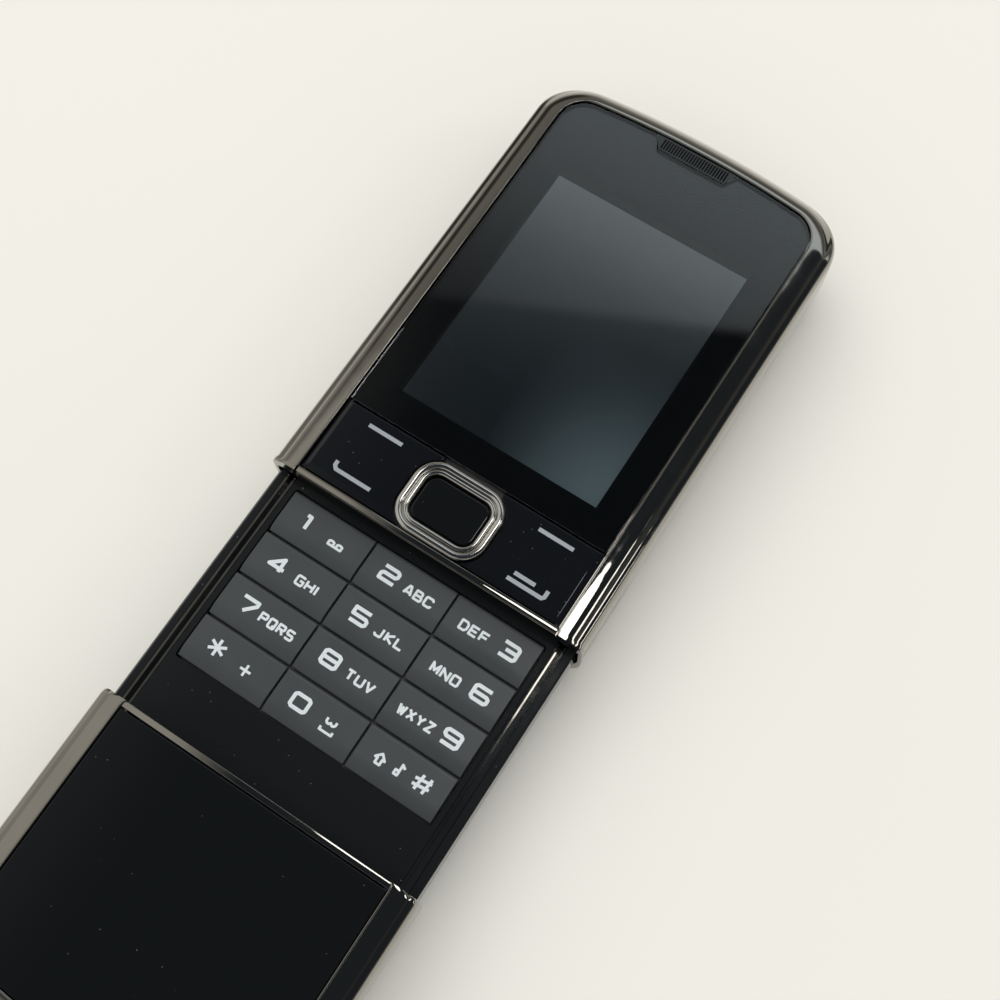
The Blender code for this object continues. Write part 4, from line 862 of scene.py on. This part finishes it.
def shape_mouth(piece, edge_y, facing, stations):
    """Slices the frame near its mouth and moves the slices out or in: stations are (run, spread)."""
    for run, _ in stations[1:]:
        slice_at((0, edge_y + facing * run, 0), (0, 1, 0))
    for run, spread in stations:
        line = edge_y + facing * run
        for side in (-1, 1):
            pick(piece, "VERT", lambda co, _: abs(co.y - line) < NEAR and co.x * side > 0.0)
            move(x=side * spread)


def lip_wall(name, edge_y, facing, low):
    """The wall across a mouth: a wide low block whose middle is raised to the lip, with a fine step."""
    near = edge_y + facing * LIP_START
    far = edge_y + facing * LIP_END
    wide = HALF_WIDTH - WALL - 0.1 * MM
    raised = window_high.x + 0.1 * MM
    piece = add_block(name, (-wide, min(near, far), low), (wide, max(near, far), LIP_SHOULDER))
    for side in (-1, 1):
        slice_at((side * raised, 0, 0), (1, 0, 0))
    pick(piece, "FACE", lambda middle, face: face.normal.z > 0.9 and abs(middle.x) < raised / 2)
    extrude(z=GLASS_TOP - LIP_SHOULDER)
    step_high = GLASS_TOP - LIP_STEP_HIGH
    step_low = GLASS_TOP - LIP_STEP_LOW
    slice_at((0, 0, step_high), (0, 0, 1))
    slice_at((0, 0, step_low), (0, 0, 1))

    def in_step(middle, face):
        return face.normal.y * facing < -0.9 and step_low < middle.z < step_high
    pick(piece, "FACE", in_step)
    bpy.ops.mesh.inset(thickness=0.02 * MM, depth=-LIP_STEP_DEPTH)
    close_up()
    round_edges(piece, 0.12 * MM, 3)
    return piece


slider_frame = frame_shell("slider_frame", TOP_END, SLIDER_EDGE)
shape_mouth(slider_frame, SLIDER_EDGE, 1, ((0.0, 0.15 * MM), (0.5 * MM, 0.15 * MM), (0.8 * MM, 0.0)))
merge_into(slider_frame, lip_wall("slider_lip", SLIDER_EDGE, 1, 12.05 * MM))
smooth(slider_frame)
finish_piece(slider_frame, "display_half", "gunmetal", CHROME, "slider_shell")

lower_frame = frame_shell("lower_frame", BASE_END, BASE_EDGE)
shape_mouth(lower_frame, BASE_EDGE, -1, ((0.0, -0.40 * MM), (0.3 * MM, -0.10 * MM), (0.9 * MM, 0.0)))
merge_into(lower_frame, lip_wall("lower_lip", BASE_EDGE, -1, 11.35 * MM))
smooth(lower_frame)
finish_piece(lower_frame, "base_half", "gunmetal", CHROME, "lower_shell")

# %% [markdown]
# The backs are flat chrome plates that carry the tuck of the sides on down to the table. Each starts from
# its widest line, which is its top, and is climbed downwards.

# %% Back plates
BACK_ROUND = 0.25 * MM
SLIVER = 0.0002 * MM


def back_plate(name, tip_y, edge_y, top):
    down = tuck_points(top, BACK_ROUND, 6)
    for share in (0.35, 0.7, 1.0):
        height = BACK_ROUND * (1 - math.sin(math.radians(90 * share)))
        draw = BACK_ROUND * (1 - math.cos(math.radians(90 * share)))
        down.append((side_inset(height) + draw, height))
    up = [down[0], (down[0][0], top + SLIVER)]
    piece = plan_slab(name, tip_y, edge_y, up, down, trim=True)
    smooth(piece, flat=True)
    return piece


slider_plate = back_plate("slider_back_plate", TOP_END, SLIDER_EDGE, back_high.z)
finish_piece(slider_plate, "display_half", "gunmetal", CHROME, "slider_back")
cover_plate = back_plate("battery_cover_plate", BASE_END, BASE_EDGE, cover_high.z)
finish_piece(cover_plate, "battery_cover", "gunmetal", CHROME, "battery_cover")

# %% [markdown]
# The front window is a real sheet of clear plastic with a small bevel all round. The black that shows
# through it is a thin layer of print on its back, open over the display, and the display's film lies a
# little deeper. Made this way the edge of the picture has real depth, and the gloss runs on over print and
# picture alike.

# %% Window, print and display
GLASS_INSET = FRAME_BAND + SEAT
GLASS_BEVEL = 0.12 * MM
WINDOW_EDGE = window_low.y
PRINT_THICKNESS = 0.06 * MM
PICTURE_HALF_WIDTH = 15.3 * MM
PICTURE_LOW_Y = 17.59 * MM
PICTURE_HIGH_Y = 57.65 * MM
RIM_LEFT = 0.6 * MM
RIM_TOP = 1.3 * MM
UNDER_PRINT = 0.5 * MM
GRILLE_SLANT = 1.6 * MM


def glass_sheet(name, tip_y, edge_y, low, high):
    """A sheet with the window's plan and a fine bevel round its front edge."""
    middle = (low + high) / 2
    bevel = ((0.0, 1.0), (0.3, 0.3), (1.0, 0.0))
    up = [(GLASS_INSET, middle)]
    up += [(GLASS_INSET + draw * GLASS_BEVEL, high - drop * GLASS_BEVEL) for draw, drop in bevel]
    return plan_slab(name, tip_y, edge_y, up, [(GLASS_INSET, middle), (GLASS_INSET, low)])


def wedge(name, low, high):
    """A block whose two lower corners are drawn in, like the outline of the earpiece."""
    piece = add_block(name, low, high)
    for side in (-1, 1):
        pick(piece, "VERT", lambda co, _: co.x * side > 0 and co.y < (low[1] + high[1]) / 2)
        move(x=-side * GRILLE_SLANT)
    return piece


def grille_notch(name):
    """The place that the earpiece takes out of the window, with its clearance."""
    low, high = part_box("earpiece_grille")
    return wedge(name, (low.x - SEAT, low.y - SEAT, low.z - MM), (high.x + SEAT, high.y + MM, high.z + MM))


window = glass_sheet("front_window", TOP_END, WINDOW_EDGE, GLASS_LOW + 0.02 * MM, GLASS_TOP)
carve(window, grille_notch("window_notch"))
smooth(window, flat=True)
finish_piece(window, "display_half", "window", CLEAR, "display_window")

print_low = (GLASS_INSET, GLASS_LOW - PRINT_THICKNESS)
print_layer = plan_slab("window_print", TOP_END, WINDOW_EDGE + 0.1 * MM,
                        [print_low, (GLASS_INSET, GLASS_LOW)], [print_low])
opening = add_block("picture_opening", (-PICTURE_HALF_WIDTH, PICTURE_LOW_Y, GLASS_LOW - MM),
                    (PICTURE_HALF_WIDTH, PICTURE_HIGH_Y, GLASS_LOW + MM))
carve(print_layer, opening)
carve(print_layer, grille_notch("print_notch"))
smooth(print_layer, flat=True)
finish_piece(print_layer, "display_half", "window", PRINT)

film_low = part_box("display_module")[1].z
film = add_block("display_film",
                 (-PICTURE_HALF_WIDTH + RIM_LEFT, PICTURE_LOW_Y - UNDER_PRINT, film_low + 0.01 * MM),
                 (PICTURE_HALF_WIDTH + UNDER_PRINT, PICTURE_HIGH_Y - RIM_TOP, film_low + 0.09 * MM))
round_edges(film, 0.02 * MM, 2)
smooth(film, flat=True)
finish_piece(film, "display_half", "display", FILM)

# %% [markdown]
# The earpiece is a black wedge in the window's upper edge with a row of fine slots. One slot cutter is
# repeated with an Array modifier and the whole row is cut at once.

# %% Earpiece grille
SLOT_COUNT = 25
SLOT_SHARE = 0.5


def earpiece_grille():
    low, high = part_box("earpiece_grille")
    piece = wedge("earpiece_slots", low, high)
    round_edges(piece, 0.05 * MM, 2)
    row = high.x - low.x - 2 * GRILLE_SLANT
    pitch = row / SLOT_COUNT
    start = low.x + GRILLE_SLANT + pitch * (1 - SLOT_SHARE) / 2
    cutter = add_block("slot_cutter", (start, low.y + 0.3 * MM, low.z - MM),
                       (start + pitch * SLOT_SHARE, high.y - 0.25 * MM, high.z + MM))
    apply_modifier(cutter, "ARRAY", count=SLOT_COUNT, use_relative_offset=False,
                   use_constant_offset=True, constant_offset_displace=(pitch, 0, 0))
    carve(piece, cutter)
    smooth(piece, flat=True)
    return piece


finish_piece(earpiece_grille(), "display_half", "gloss_black", DECK_BLACK, "earpiece_grille")

# %% [markdown]
# Each function pad is one rocker for two keys. Its face is flat, its margins slope down, and it is cut away
# round the ring. The slopes catch the light of the room, which draws the olive-grey band round each black
# face in the photograph.

# %% Ring outline and function pads
ring_low, ring_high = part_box("nav_ring")
RING_CORNER = 3.6 * MM
RING_BAND = 1.9 * MM
RING_ROUND_STEPS = 12
RING_GAP = 0.25 * MM
PAD_SLOPE = 0.8 * MM
PAD_SLOPE_DROP = 0.30 * MM


def ring_face(name, grow, height):
    """A flat face with the ring's rounded outline, left selected in edit mode."""
    start_fresh()
    centre = (ring_low + ring_high) / 2
    bpy.ops.mesh.primitive_plane_add(size=1.0, location=(centre.x, centre.y, height))
    piece = bpy.context.object
    piece.name = name
    piece.scale = (ring_high.x - ring_low.x + 2 * grow, ring_high.y - ring_low.y + 2 * grow, 1.0)
    settle(piece)
    bpy.ops.object.mode_set(mode="EDIT")
    bpy.ops.mesh.select_mode(type="VERT")
    bpy.ops.mesh.select_all(action="SELECT")
    bpy.ops.mesh.bevel(offset=RING_CORNER + grow, segments=RING_ROUND_STEPS, affect="VERTICES")
    bpy.ops.mesh.select_mode(type="FACE")
    bpy.ops.mesh.select_all(action="SELECT")
    return piece


def ring_prism(name, grow, low, high):
    piece = ring_face(name, grow, low)
    extrude(z=high - low)
    close_up()
    return piece


def function_pad(name, node, side):
    low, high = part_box(node)
    piece = add_block(name, low, (high.x, high.y, high.z - PAD_SLOPE_DROP))
    pick(piece, "FACE", lambda _, face: face.normal.z > 0.9)
    extrude(z=PAD_SLOPE_DROP)
    inner, outer = (low.x, high.x) if side > 0 else (high.x, low.x)
    draws = ((0, outer, -side * PAD_SLOPE), (0, inner, side * SEAT), (1, low.y, PAD_SLOPE),
             (1, high.y, -PAD_SLOPE / 3))
    for axis, line, draw in draws:
        pick(piece, "EDGE", lambda middle, _: middle.z > high.z - NEAR and abs(middle[axis] - line) < NEAR)
        move(**{"xy"[axis]: draw})
    round_edges(piece, 0.05 * MM, 3, 12.0)
    carve(piece, ring_prism(name + "_cut", RING_GAP, low.z - MM, high.z + MM))
    smooth(piece, flat=True)
    return piece


left_pad = function_pad("left_rocker_pad", "left_pad", -1)
finish_piece(left_pad, "left_rocker", "gloss_black", PAD_BLACK, "left_pad")
right_pad = function_pad("right_rocker_pad", "right_pad", 1)
finish_piece(right_pad, "right_rocker", "gloss_black", PAD_BLACK, "right_pad")

# %% [markdown]
# The navigation ring has two rims with a valley between them, like two strands laid side by side. Its
# outline is a plane with rounded corners, and its section is climbed by insets: up the outer wall, over the
# high outer rim, through the valley, over the lower inner rim and down to the foot, where the two borders
# are bridged.

# %% Navigation ring and centre key
OUTER_RIM = (0.56 * MM, 0.62 * MM)
OUTER_ARC = (8, 148, 18)
INNER_RIM = (0.41 * MM, 0.50 * MM)
INNER_ARC = (32, 178, 16)
INNER_RIM_AT = 1.46 * MM
INNER_RIM_DROP = 0.02 * MM


def nav_ring():
    foot = ring_low.z
    crest = ring_high.z
    shoulder = crest - OUTER_RIM[1]
    section = [(0.0, foot), (0.0, shoulder)]
    section += arc_points((OUTER_RIM[0], shoulder), OUTER_RIM, *OUTER_ARC)
    inner_base = shoulder - INNER_RIM_DROP
    section += arc_points((INNER_RIM_AT, inner_base), INNER_RIM, *INNER_ARC)
    section += [(RING_BAND, inner_base - 0.2 * MM), (RING_BAND, foot)]
    piece = ring_face("navigation_ring", 0.0, foot)
    climb(section)
    bpy.ops.mesh.delete(type="ONLY_FACE")
    bpy.ops.mesh.select_mode(type="FACE")
    pick(piece, "FACE", lambda middle, face: len(face.verts) > RING_ROUND_STEPS and face.normal.z < -0.9)
    bpy.ops.mesh.delete(type="ONLY_FACE")
    pick(piece, "EDGE", lambda _, edge: edge.is_boundary)
    bpy.ops.mesh.bridge_edge_loops()
    close_up()
    smooth(piece, 40.0)
    return piece


def centre_key():
    low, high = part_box("centre_key")
    edge = 0.18 * MM
    piece = ring_face("centre_key_cap", -(RING_BAND + RING_GAP), low.z)
    climb([(0.0, low.z), (0.0, high.z - edge), (0.3 * edge, high.z - 0.3 * edge), (edge, high.z)])
    close_up()
    smooth(piece, flat=True)
    return piece


finish_piece(nav_ring(), "nav_ring", "gunmetal", RING_CHROME, "nav_ring")
finish_piece(centre_key(), "centre_key", "gloss_black", PANEL_BLACK, "centre_key")

# %% [markdown]
# The lower panel is a black sheet like the window, with nothing behind it, so it is one solid gloss piece.

# %% Lower panel
lower_sheet = glass_sheet("lower_front_panel", BASE_END, panel_high.y, panel_low.z, panel_high.z)
smooth(lower_sheet, flat=True)
finish_piece(lower_sheet, "base_half", "window", PANEL_BLACK, "lower_panel")

# %% [markdown]
# A number key is nearly flat, drops a little at its upper edge and rolls down at its lower one. One block
# for each width is sliced across, the slices are lowered by a formula and the edges are rounded. The twelve
# keys are copies of these two, moved to their places in the mesh.

# %% Number keys
KEY_NAMES = ("1", "2", "3", "4", "5", "6", "7", "8", "9", "star", "0", "hash")
ROLL_START_SHARE = 0.66
ROLL_DROP = 0.46 * MM
ROLL_POWER = 2.2
ROLL_STEPS = 10
HEAD_SHARE = 0.08
HEAD_DROP = 0.28 * MM
HEAD_STEPS = 5
KEY_EDGE = 0.11 * MM


def key_drop(share):
    """How far the key's top lies below its crest, at a share of its length from its upper edge."""
    drop = 0.0
    if share < HEAD_SHARE:
        drop += HEAD_DROP * (1 - math.sqrt(1 - (1 - share / HEAD_SHARE) ** 2))
    if share > ROLL_START_SHARE:
        drop += ROLL_DROP * ((share - ROLL_START_SHARE) / (1 - ROLL_START_SHARE)) ** ROLL_POWER
    return drop


def key_block(name, node):
    low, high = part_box(node)
    length = high.y - low.y
    piece = add_block(name, low, high)
    shares = [HEAD_SHARE * part / HEAD_STEPS for part in range(HEAD_STEPS + 1)]
    roll_share = 1 - ROLL_START_SHARE
    shares += [ROLL_START_SHARE + roll_share * part / ROLL_STEPS for part in range(ROLL_STEPS + 1)]
    for share in shares[1:-1]:
        slice_at((0, high.y - share * length, 0), (0, 1, 0))
    for share in shares:
        line = high.y - share * length
        pick(piece, "VERT", lambda co, _: co.z > high.z - NEAR and abs(co.y - line) < NEAR)
        move(z=-key_drop(share))
    round_edges(piece, KEY_EDGE, 3, 40.0)
    smooth(piece, 35.0, flat=True)
    return piece


def copy_to(piece, name, shift):
    """A copy with its own mesh, moved by a shift that is written into the mesh."""
    take(piece)
    bpy.ops.object.duplicate()
    made = bpy.context.object
    made.name = name
    move(*shift)
    settle(made)
    return made


key_masters = [key_block("key_cap_%d" % column, "key_%s" % KEY_NAMES[column]) for column in range(3)]
for index, key in enumerate(KEY_NAMES):
    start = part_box("key_" + KEY_NAMES[index % 3])[0]
    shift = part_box("key_" + key)[0] - start
    key_cap = copy_to(key_masters[index % 3], "number_key_" + key, shift)
    finish_piece(key_cap, "key_" + key, "keys", KEY, "key_" + key)
for master in key_masters:
    bpy.data.objects.remove(master)

# %% [markdown]
# The figures are a squarish stroke lettering. Each sign is a few strokes on a grid of nine by nine points: a
# pair of digits is one point, a slash starts a new stroke and an asterisk closes it. Every straight run is a
# thin block and every bend a disc, and they are united, so that crossing strokes leave one clean body of
# ink.

# %% Lettering
SIGNS = {
    "0": "*18 78 87 81 70 10 01 07", "1": "08 48 40", "2": "08 78 87 85 74 14 03 00 80",
    "3": "08 78 87 81 70 00/24 84", "4": "60 68 02 82", "5": "88 08 04 74 83 81 70 00",
    "6": "88 18 07 01 10 70 81 83 74 04", "7": "08 88 86 30", "8": "*18 78 87 81 70 10 01 07/04 84",
    "9": "84 14 05 07 18 78 87 81 70 00", "#": "38 20/78 60/05 86/02 83", "*": "40 48/06 82/02 86",
    "+": "40 48/04 84", "A": "00 38 58 80/12 72", "B": "*00 08 68 77 75 64 83 81 70/04 64",
    "C": "86 87 78 18 07 01 10 70 81 82", "D": "*00 08 68 86 82 60", "E": "88 08 00 80/04 74",
    "F": "88 08 00/04 74", "G": "87 78 18 07 01 10 70 81 84 44", "H": "00 08/80 88/04 84", "I": "40 48",
    "J": "78 71 60 10 01 02", "K": "00 08/88 04 80", "L": "08 00 80", "M": "00 08 42 88 80",
    "N": "00 08 80 88", "O": "*18 78 87 81 70 10 01 07", "P": "00 08 78 87 85 74 04",
    "Q": "*18 78 87 81 70 10 01 07/53 80", "R": "00 08 78 87 85 74 04/44 80",
    "S": "87 78 18 07 05 14 74 83 81 70 10 01", "T": "08 88/48 40", "U": "08 01 10 70 81 88",
    "V": "08 40 88", "W": "08 20 46 60 88", "X": "00 88/08 80", "Y": "08 44 88/44 40", "Z": "08 88 00 80",
    "tape": "*00 05 16 26 35 31 20/*60 51 55 66 76 85 80/20 60",
    "space": "02 00 80 82/18 16 25 35 46 55 65 76 78", "shift": "*48 84 64 60 20 24 04",
    "note": "*10 40 43 13/40 48 76",
}
NARROW = {"I": 0.30}
INK_RELIEF = 0.03 * MM


def stroke_list(sign):
    """The strokes of a sign: (closed, points), each point in shares of the sign's width and height."""
    strokes = []
    for part in SIGNS[sign].split("/"):
        closed = part.startswith("*")
        points = [(int(pair[0]) / 8, int(pair[1]) / 8) for pair in part.lstrip("*").split()]
        strokes.append((closed, points))
    return strokes


def draw_strokes(name, strokes, width, place):
    """One body of flat strokes: a block for each straight run and a disc for each bend, united."""
    start_fresh()
    bpy.ops.mesh.primitive_plane_add(size=MM)
    made = bpy.context.object
    made.name = name
    bpy.ops.object.mode_set(mode="EDIT")
    bpy.ops.mesh.delete(type="VERT")
    for closed, points in strokes:
        places = [Vector((x, y, 0.0)) + place for x, y in points]
        ends = places[1:] + places[:1] if closed else places[1:]
        for start, end in zip(places, ends):
            run = end - start
            bpy.ops.mesh.primitive_cube_add(size=1.0, location=(start + end) / 2,
                                            rotation=(0, 0, math.atan2(run.y, run.x)),
                                            scale=(run.length, width, 2 * INK_RELIEF))
        for bend in places if closed else places[1:-1]:
            bpy.ops.mesh.primitive_cylinder_add(vertices=16, radius=width / 2, depth=2 * INK_RELIEF,
                                                location=bend)
    bpy.ops.mesh.select_mode(type="FACE")
    bpy.ops.mesh.select_all(action="SELECT")
    bpy.ops.mesh.intersect_boolean(operation="UNION", use_self=True, solver="EXACT")
    close_up()
    bpy.ops.mesh.dissolve_limited(angle_limit=math.radians(1.0))
    return made


def word_strokes(signs, width, height, gap, stroke, middle):
    """Lays signs side by side, centred on a middle, and gives all their strokes."""
    widths = [width * NARROW.get(sign, 1.0) for sign in signs]
    total = sum(widths) + gap * (len(signs) - 1)
    x = middle[0] - total / 2
    strokes = []
    for sign, sign_width in zip(signs, widths):
        span = max(sign_width - stroke, 0.0)
        for closed, points in stroke_list(sign):
            placed = []
            for across, up in points:
                share = 0.5 if sign in NARROW else across
                placed.append((x + stroke / 2 + share * span, middle[1] + (up - 0.5) * (height - stroke)))
            strokes.append((closed, placed))
        x += sign_width + gap
    return strokes


# %% [markdown]
# On the left and middle keys the figure stands left and its letters right, and on the right keys it is the
# other way round, as in the photograph. The hash key has two small signs beside its figure.

# %% Printed keys
FIGURE_SIZE = (2.75 * MM, 2.30 * MM)
FIGURE_STROKE = 0.50 * MM
ONE_WIDTH = 1.70 * MM
SIGN_SIZES = {"*": (2.6 * MM, 2.7 * MM), "#": (2.7 * MM, 2.5 * MM)}
SIGN_STROKE = 0.40 * MM
LETTER_HEIGHT = 1.50 * MM
LETTER_STROKE = 0.33 * MM
LETTER_GAP = 0.16 * MM
LETTER_WIDTHS = {3: 1.34 * MM, 4: 1.22 * MM}
LEGENDS = {
    "1": ("1", ("tape",)), "2": ("2", "ABC"), "3": ("3", "DEF"), "4": ("4", "GHI"), "5": ("5", "JKL"),
    "6": ("6", "MNO"), "7": ("7", "PQRS"), "8": ("8", "TUV"), "9": ("9", "WXYZ"), "star": ("*", ("+",)),
    "0": ("0", ("space",)), "hash": ("#", ("shift", "note")),
}
SYMBOL_SIZES = {"tape": (2.3 * MM, 1.1 * MM), "+": (1.9 * MM, 1.9 * MM), "space": (2.1 * MM, 2.1 * MM),
                "shift": (1.7 * MM, 1.7 * MM), "note": (1.7 * MM, 1.8 * MM)}
FIGURE_X = -2.5 * MM
LETTERS_X = 2.2 * MM
FIGURE_X_RIGHT = 2.95 * MM
FIGURE_Y = 0.25 * MM
LETTERS_Y = -0.05 * MM
SYMBOL_Y = -0.2 * MM
HASH_PLACES = {"shift": (-3.1 * MM, -0.05 * MM), "note": (-0.25 * MM, 0.15 * MM)}


def key_legend(key, column):
    low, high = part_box("key_" + key)
    centre = (low + high) / 2
    face = Vector((centre.x, centre.y, high.z - 0.2 * INK_RELIEF))
    figure, letters = LEGENDS[key]
    turned = column == 2
    figure_place = (FIGURE_X_RIGHT if turned else FIGURE_X, FIGURE_Y)
    letters_x = -LETTERS_X if turned else LETTERS_X
    size = (ONE_WIDTH, FIGURE_SIZE[1]) if figure == "1" else SIGN_SIZES.get(figure, FIGURE_SIZE)
    stroke = SIGN_STROKE if figure in SIGN_SIZES else FIGURE_STROKE
    strokes = word_strokes((figure,), *size, 0.0, stroke, figure_place)
    legend = draw_strokes("legend_" + key, strokes, stroke, face)
    strokes = []
    if letters[0] in SYMBOL_SIZES:
        for sign in letters:
            place = HASH_PLACES.get(sign, (letters_x, SYMBOL_Y))
            strokes += word_strokes((sign,), *SYMBOL_SIZES[sign], 0.0, LETTER_STROKE, place)
    else:
        width = LETTER_WIDTHS[len(letters)]
        place = (letters_x, LETTERS_Y)
        strokes += word_strokes(letters, width, LETTER_HEIGHT, LETTER_GAP, LETTER_STROKE, place)
    merge_into(legend, draw_strokes("letters_" + key, strokes, LETTER_STROKE, face))
    finish_piece(legend, "key_" + key, "keys", KEY_INK)


for index, key in enumerate(KEY_NAMES):
    key_legend(key, index % 3)

# %% [markdown]
# The pads carry five marks: a short bar for each soft key, a hooked bar for the call key, and a hooked bar
# below a short one for the end key. They use the same flat strokes as the figures.

# %% Marks on the pads
pad_face_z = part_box("left_pad")[1].z
MARK_STROKE = 0.55 * MM
LEFT_MARKS = (((-15.4, 11.1), (-10.2, 11.1)),
              ((-15.95, 4.85), (-15.95, 4.2), (-15.55, 3.75), (-10.2, 3.75)))
RIGHT_MARKS = (((10.8, 11.1), (16.0, 11.1)), ((10.8, 3.6), (15.9, 3.6), (16.2, 3.9), (16.2, 4.85)),
               ((11.3, 4.6), (14.4, 4.6)))


def pad_marks(name, marks, body):
    strokes = [(False, [(x * MM, y * MM) for x, y in mark]) for mark in marks]
    made = draw_strokes(name, strokes, MARK_STROKE, Vector((0, 0, pad_face_z - 0.5 * INK_RELIEF)))
    finish_piece(made, body, "gloss_black", PAD_INK)


pad_marks("left_pad_marks", LEFT_MARKS, "left_rocker")
pad_marks("right_pad_marks", RIGHT_MARKS, "right_rocker")

# %% [markdown]
# The remaining nodes have the right shape already, so they keep it and only get their finishes.

# %% Finishes of the carried-over nodes
NODE_FINISHES = (
    (DECK_BLACK, ("inner_frame",)),
    (FILM_RIM, ("display_module",)),
    (PANEL_BLACK, ("camera_lens",)),
    (CHROME, ("rail_left", "rail_right")),
    (STEEL, ("slider_chassis", "runner_left", "runner_right", "screw_1", "screw_2",
             "screw_3", "screw_4", "shield_can_front", "shield_can_rear", "vibration_motor", "motor_weight",
             "sim_holder", "microphone", "charging_socket")),
    (RUBBER, ("function_mat", "number_mat")),
    (BOARD, ("function_board", "keypad_board", "main_board")),
    (PLASTIC, ("nav_carrier", "earpiece", "rear_chassis", "camera_module", "antenna_carrier", "loudspeaker")),
    (GOLD, ("battery_contacts",)),
    (WRAP, ("battery",)),
)


def refinish(node, surface):
    """Changes a carried-over node's material and leaves its mesh alone."""
    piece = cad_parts[node]
    piece.data.materials.clear()
    piece.data.materials.append(surface)


for surface, nodes in NODE_FINISHES:
    for node in nodes:
        refinish(node, surface)
print("refinished", sum(len(nodes) for _, nodes in NODE_FINISHES), "nodes")

# %% [markdown]
# The table is plain and off-white, with hardly any pattern, and so large that its edge stays far away from
# the phone.

# %% Table
TABLE_COLOUR = (0.86, 0.845, 0.79)
TABLE_TONES = ((0.85, 0.835, 0.78), (0.87, 0.86, 0.81))
TABLE_SIZE = 6.0
TABLE_DROP = 0.02 * MM
start_fresh()
bpy.ops.mesh.primitive_plane_add(size=TABLE_SIZE, location=(0, 0, -TABLE_DROP))
table = bpy.context.object
table.name = "table"
settle(table)
table.data.materials.append(mottled("pale_table", TABLE_COLOUR, TABLE_TONES, 0.55, 9.0))
start_fresh()
